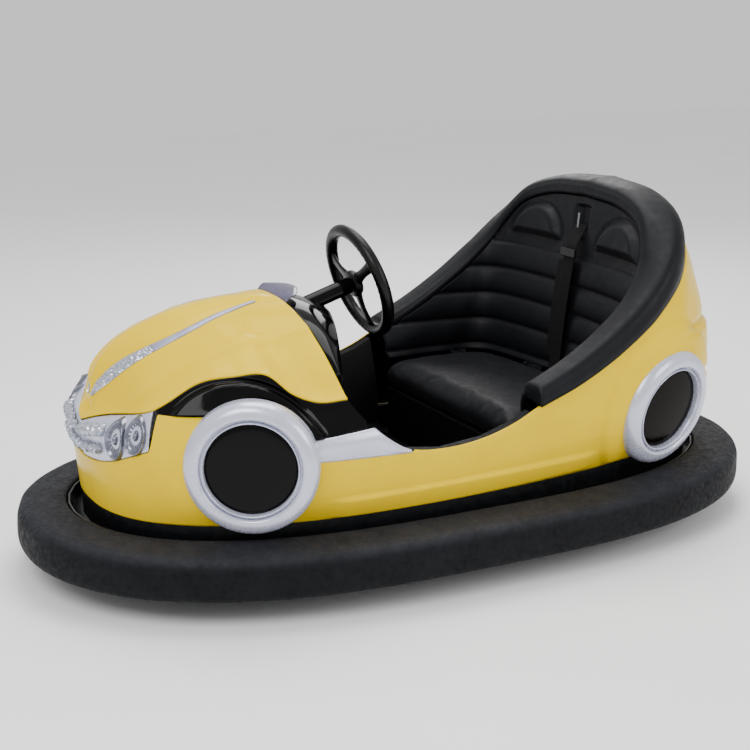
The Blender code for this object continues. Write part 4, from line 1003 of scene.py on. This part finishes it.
def strap(name, path, across, width, thickness, finish_used, round_count=20):
    """A flat strap: a flat oval section carried along a path."""
    path = np.asarray(path, float)
    ahead = np.gradient(path, axis=0)
    ahead /= np.linalg.norm(ahead, axis=1)[:, None]
    side = np.broadcast_to(np.asarray(across, float), path.shape)
    face = np.cross(ahead, side)
    turn = turns(round_count)
    u = width / 2 * squared_off(np.cos(turn), 0.35)
    v = thickness / 2 * squared_off(np.sin(turn), 0.5)
    points = path[:, None] + u[None, :, None] * side[:, None] + v[None, :, None] * face[:, None]
    count = round_count * len(path)
    caps = [tuple(range(round_count)), tuple(range(count - round_count, count))[::-1]]
    quads = grid_faces(len(path), round_count, wrap=True)
    return sharp(repaired(make(name, points, quads, finish_used, loose=caps)), 50)


def make_belt():
    """The belt: a strap that sags by a sine from foot to slot, a second layer and its adjuster."""
    foot = np.array((0.0, 0.486, 0.352))
    slot = np.array((0.0, 0.540, 0.735))
    t = np.linspace(0, 1, 40)[:, None]
    sag = -0.012 - 0.006 * np.sin(math.pi * t)
    path = foot + t * (slot - foot) + np.concatenate([0 * t, sag, 0 * t], axis=1)
    path[-6:, 1] += np.linspace(0, 0.022, 6)
    belt = strap("belt_webbing", path, (1, 0, 0), 0.048, 0.003, WEBBING)
    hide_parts("seat_belt")
    strap("belt_second_layer", path[3:30] + (-0.030, 0.004, 0), (1, 0, 0), 0.040, 0.003, WEBBING)
    at = path[31]
    strap("belt_adjuster", [at + (x, -0.005, 0.006) for x in np.linspace(-0.032, 0.032, 12)], (0, 0.1, 0.995),
                0.022, 0.006, STEEL)
    lathe("belt_pin", ((0.0, -0.020), (0.0035, -0.019), (0.0035, 0.019), (0.0, 0.020)),
          slot + (0.004, -0.004, 0.012), (0, 0.1, 1), ZINC, 20)


SPOKE_ANGLES = (90, 200, 330)


def make_steering():
    """The steering wheel: a torus, three spokes whose section varies along the radius, and a domed hub."""
    joint = next(j for j in frame["record"]["behaviour"]["joints"] if j["name"] == "steering_turn")
    hub, up = np.array(joint["pos_m"]), np.array(joint["axis"])
    low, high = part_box("steering_wheel")
    grip = 0.0155
    radius = (high[0] - low[0]) / 2 - grip
    side = np.array((1.0, 0.0, 0.0))
    other = np.cross(up, side)
    turn, tube = turns(128)[None], turns(28)[:, None]
    spoke_turns = np.radians(SPOKE_ANGLES)
    swell = 1 + 0.10 * np.sum([bell(np.angle(np.exp(1j * (turn - a))), 0, 0.16) for a in spoke_turns], axis=0)
    ridge = 0.0004 * np.cos(48 * turn) * (np.cos(tube) < 0.3)
    minor = grip * np.minimum(swell, 1.0) + ridge - 0.0004
    ring = (hub + (radius + minor * np.cos(tube))[..., None] * circle(turn, side, other)
            + (minor * np.sin(tube))[..., None] * up)
    parts = [np.concatenate([ring, ring[:1]])]
    section = turns(24)
    reach = np.linspace(0.012, radius - 0.002, 30)
    half = through(reach, (0.012, 0.040, 0.080, radius - 0.02, radius),
                   (0.020, 0.0150, 0.0125, 0.0165, 0.026))
    thick = through(reach, (0.012, 0.040, 0.080, radius), (0.008, 0.0055, 0.0045, 0.0060))
    drop = through(reach, (0.012, 0.060, radius), (-0.013, -0.012, -0.001))
    for angle in spoke_turns:
        way = math.cos(angle) * side + math.sin(angle) * other
        lateral = -math.sin(angle) * side + math.cos(angle) * other
        u = half[:, None] * squared_off(np.cos(section), 0.6)
        v = thick[:, None] * np.sin(section) + drop[:, None]
        parts.append(pinched(hub + reach[:, None, None] * way + u[..., None] * lateral + v[..., None] * up))
    profile = rounded(((0.0, 0.0055), (0.012, 0.0052), (0.024, 0.0030), (0.031, -0.002), (0.0335, -0.010),
                       (0.033, -0.020)), 4)
    profile = np.concatenate([profile, [(0.030, -0.0215), (0.0, -0.0215)]])
    spin = circle(turns(64), side, other)
    parts.append(hub + profile[:, None, 0:1] * spin[None] + (profile[:, None, 1:2] - 0.006) * up)
    grids = [(points, grid_faces(*points.shape[:2], wrap=True)) for points in parts]
    wheel = sharp(repaired(make("steering_wheel_moulding", *joined(grids), GRIP, "steering")), 50)
    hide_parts("steering_wheel")


def make_dash():
    """The dashboard: lines from the bonnet's rear edge back to a lip, down to a foot and on to the floor."""
    count = 60
    across = np.linspace(0, 0.330, count)
    bend = (across / 0.330) ** 1.4
    edge = bonnet_ribs(np.array((0.0, CORNER_RUN)), 300)[:, -1][::-1]
    upper = slice(0, np.argmax(edge[:, 0]) + 1)

    def rim(x):
        return np.stack([np.interp(x, edge[upper, 0], edge[upper, k]) for k in range(3)], axis=1)

    front = rim(across) + (0, 0.0030, -0.005)
    depth = 0.014 + (-0.215 - front[0, 1] - 0.014) * (1 - bend)
    rear = front + np.stack([0 * across, depth, -0.030 * (1 - bend) - 0.004], axis=1)
    foot = np.stack([across * 0.94, -0.262 - 0.070 * bend, np.full(count, 0.415)], axis=1)
    floor_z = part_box("dashboard")[0][2]
    floor = np.stack([across * 0.94, np.full(count, -0.266), np.full(count, floor_z)], axis=1)
    share = np.linspace(0, 1, 16)[:, None, None]
    hump = np.concatenate([0 * share, 0 * share, 0.010 * np.sin(math.pi * share)], axis=-1)
    top = front + share * (rear - front) + hump
    face = rear + share * (foot - rear)
    lower = foot + share[1:] * (floor - foot)
    whole = with_mirror(np.concatenate([top, face[1:], lower]), axis=1, first=True)
    dash = sheet("dashboard_moulding", whole, BONNET_MIDDLE, BLACK_GLOSS, 0.004)
    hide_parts("dashboard")

    half_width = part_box("wind_deflector")[1][0]
    x = np.linspace(0, half_width, 40)
    start = rim(x) + (0, 0.0008, -0.001)
    reach = 0.060 - 0.035 * (x / half_width) ** 2
    stop = start + np.stack([0 * x, reach, np.full_like(x, 0.015)], axis=1)
    t = np.linspace(0, 1, 14)[:, None, None]
    bow = np.concatenate([0 * t, 0 * t, 0.006 * np.sin(math.pi * t)], axis=2)
    whole = with_mirror(start + t * (stop - start) + bow, axis=1, first=True)
    screen = sheet("deflector_screen", whole, (0, -0.33, 0.5), SMOKED, 0.003)
    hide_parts("wind_deflector")


def smoothed(node, name, finish_used, body, bevel, degrees=30):
    """A copy of a CAD node with its points merged, smooth between its edges, and its edges broken."""
    obj = repaired(linked(name, frame["nodes"][node].data.copy()), merge=0.00003, turn_out=False)
    obj.data.materials.clear()
    obj.data.materials.append(finish_used)
    sharp(obj, degrees)
    if bevel:
        made = obj.modifiers.new("edges", "BEVEL")
        made.width = bevel
        made.segments = 2
        made.limit_method = "ANGLE"
        made.angle_limit = math.radians(degrees + 5)
        made.harden_normals = False
    obj["body"] = body
    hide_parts(node)


def carried_over():
    """The CAD nodes whose shape is right as it is, with their finishes."""
    table = {
        "body_plinth": STEEL, "chassis_deck": STEEL, "bumper_rim": STEEL, "cockpit_tub": BLACK_LINER,
        "seat_base": BLACK_LINER, "battery_pack": STEEL, "swivel_bearing": ZINC, "drive_frame": STEEL,
        "drive_motor": CASTING, "rear_axle_left": STEEL, "rear_axle_right": STEEL, "accelerator_pedal": STEEL,
        "steering_shaft": ZINC, "steering_column": BLACK_GLOSS, "drive_hub": CASTING, "drive_tyre": TYRE,
        "rear_left_hub": CASTING, "rear_left_tyre": TYRE, "rear_right_hub": CASTING, "rear_right_tyre": TYRE,
    }
    bodies = {node: body for body, nodes in frame["record"]["behaviour"]["bodies"].items() for node in nodes}
    for node, used in table.items():
        smoothed(node, f"{node}_finished", used, bodies[node], bevel=0 if node == "chassis_deck" else 0.0008)


def studio():
    """A pale floor that runs up into a pale backdrop colour, and large soft lights."""
    floor_size = 9.0
    points = np.array([(-1, -1, 0), (1, -1, 0), (1, 1, 0), (-1, 1, 0)], float) * (floor_size, floor_size, 1)
    ground = finish("pale_floor_paint", "fcfcfc", "f8f8f9", 900, (0.55, 0.65))
    floor = make("studio_floor", points, np.array([(0, 1, 2, 3)]), ground)
    del floor["body"]
    world = bpy.data.worlds.new("studio")
    world.use_nodes = True
    world.node_tree.nodes["Background"].inputs["Color"].default_value = (1, 1, 1, 1)
    world.node_tree.nodes["Background"].inputs["Strength"].default_value = 0.85
    bpy.context.scene.world = world
    for name, place, aim, size, power in (
        ("key", (2.2, -2.6, 3.4), (0, -0.2, 0.3), 2.2, 110), ("fill", (3.6, 2.2, 2.2), (0, 0, 0.3), 2.0, 60),
        ("top", (-0.6, 0.3, 3.8), (0, 0, 0.3), 2.4, 110), ("rear", (-3.0, 2.0, 2.4), (0, 0, 0.3), 1.6, 40),
    ):
        lamp = bpy.data.lights.new(name, "AREA")
        lamp.shape = "SQUARE"
        lamp.size = size
        lamp.energy = power
        aim_at(linked(name, lamp), place, aim)


def aim_at(obj, place, target):
    """Puts an object at a place, its -Z towards a target."""
    obj.location = place
    obj.rotation_mode = "QUATERNION"
    obj.rotation_quaternion = (Vector(place) - Vector(target)).to_track_quat("Z", "Y")


def camera():
    """Eye level a little above the car, off its left front: 62.6 degrees round and 15 degrees up."""
    azimuth, elevation, distance = math.radians(62.624), math.radians(14.987), 3.8322
    target = np.array((0.01099, -0.07133, 0.40158))
    back = np.array((math.sin(azimuth) * math.cos(elevation), -math.cos(azimuth) * math.cos(elevation),
                     math.sin(elevation)))
    data = bpy.data.cameras.new("camera")
    data.lens = 73.323
    data.sensor_width = 36.0
    made = linked("camera", data)
    aim_at(made, tuple(target + distance * back), tuple(target))
    bpy.context.scene.camera = made


camera()
studio()
make_body()
make_side_panels()
make_bonnet()
make_strips()
make_lamps()
make_trims()
make_bumper()
make_bolster()
make_back()
make_cushion()
make_belt()
make_steering()
make_dash()
carried_over()
for obj in list(bpy.context.scene.objects):
    if "body" in obj:
        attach(obj, obj["body"])
        del obj["body"]
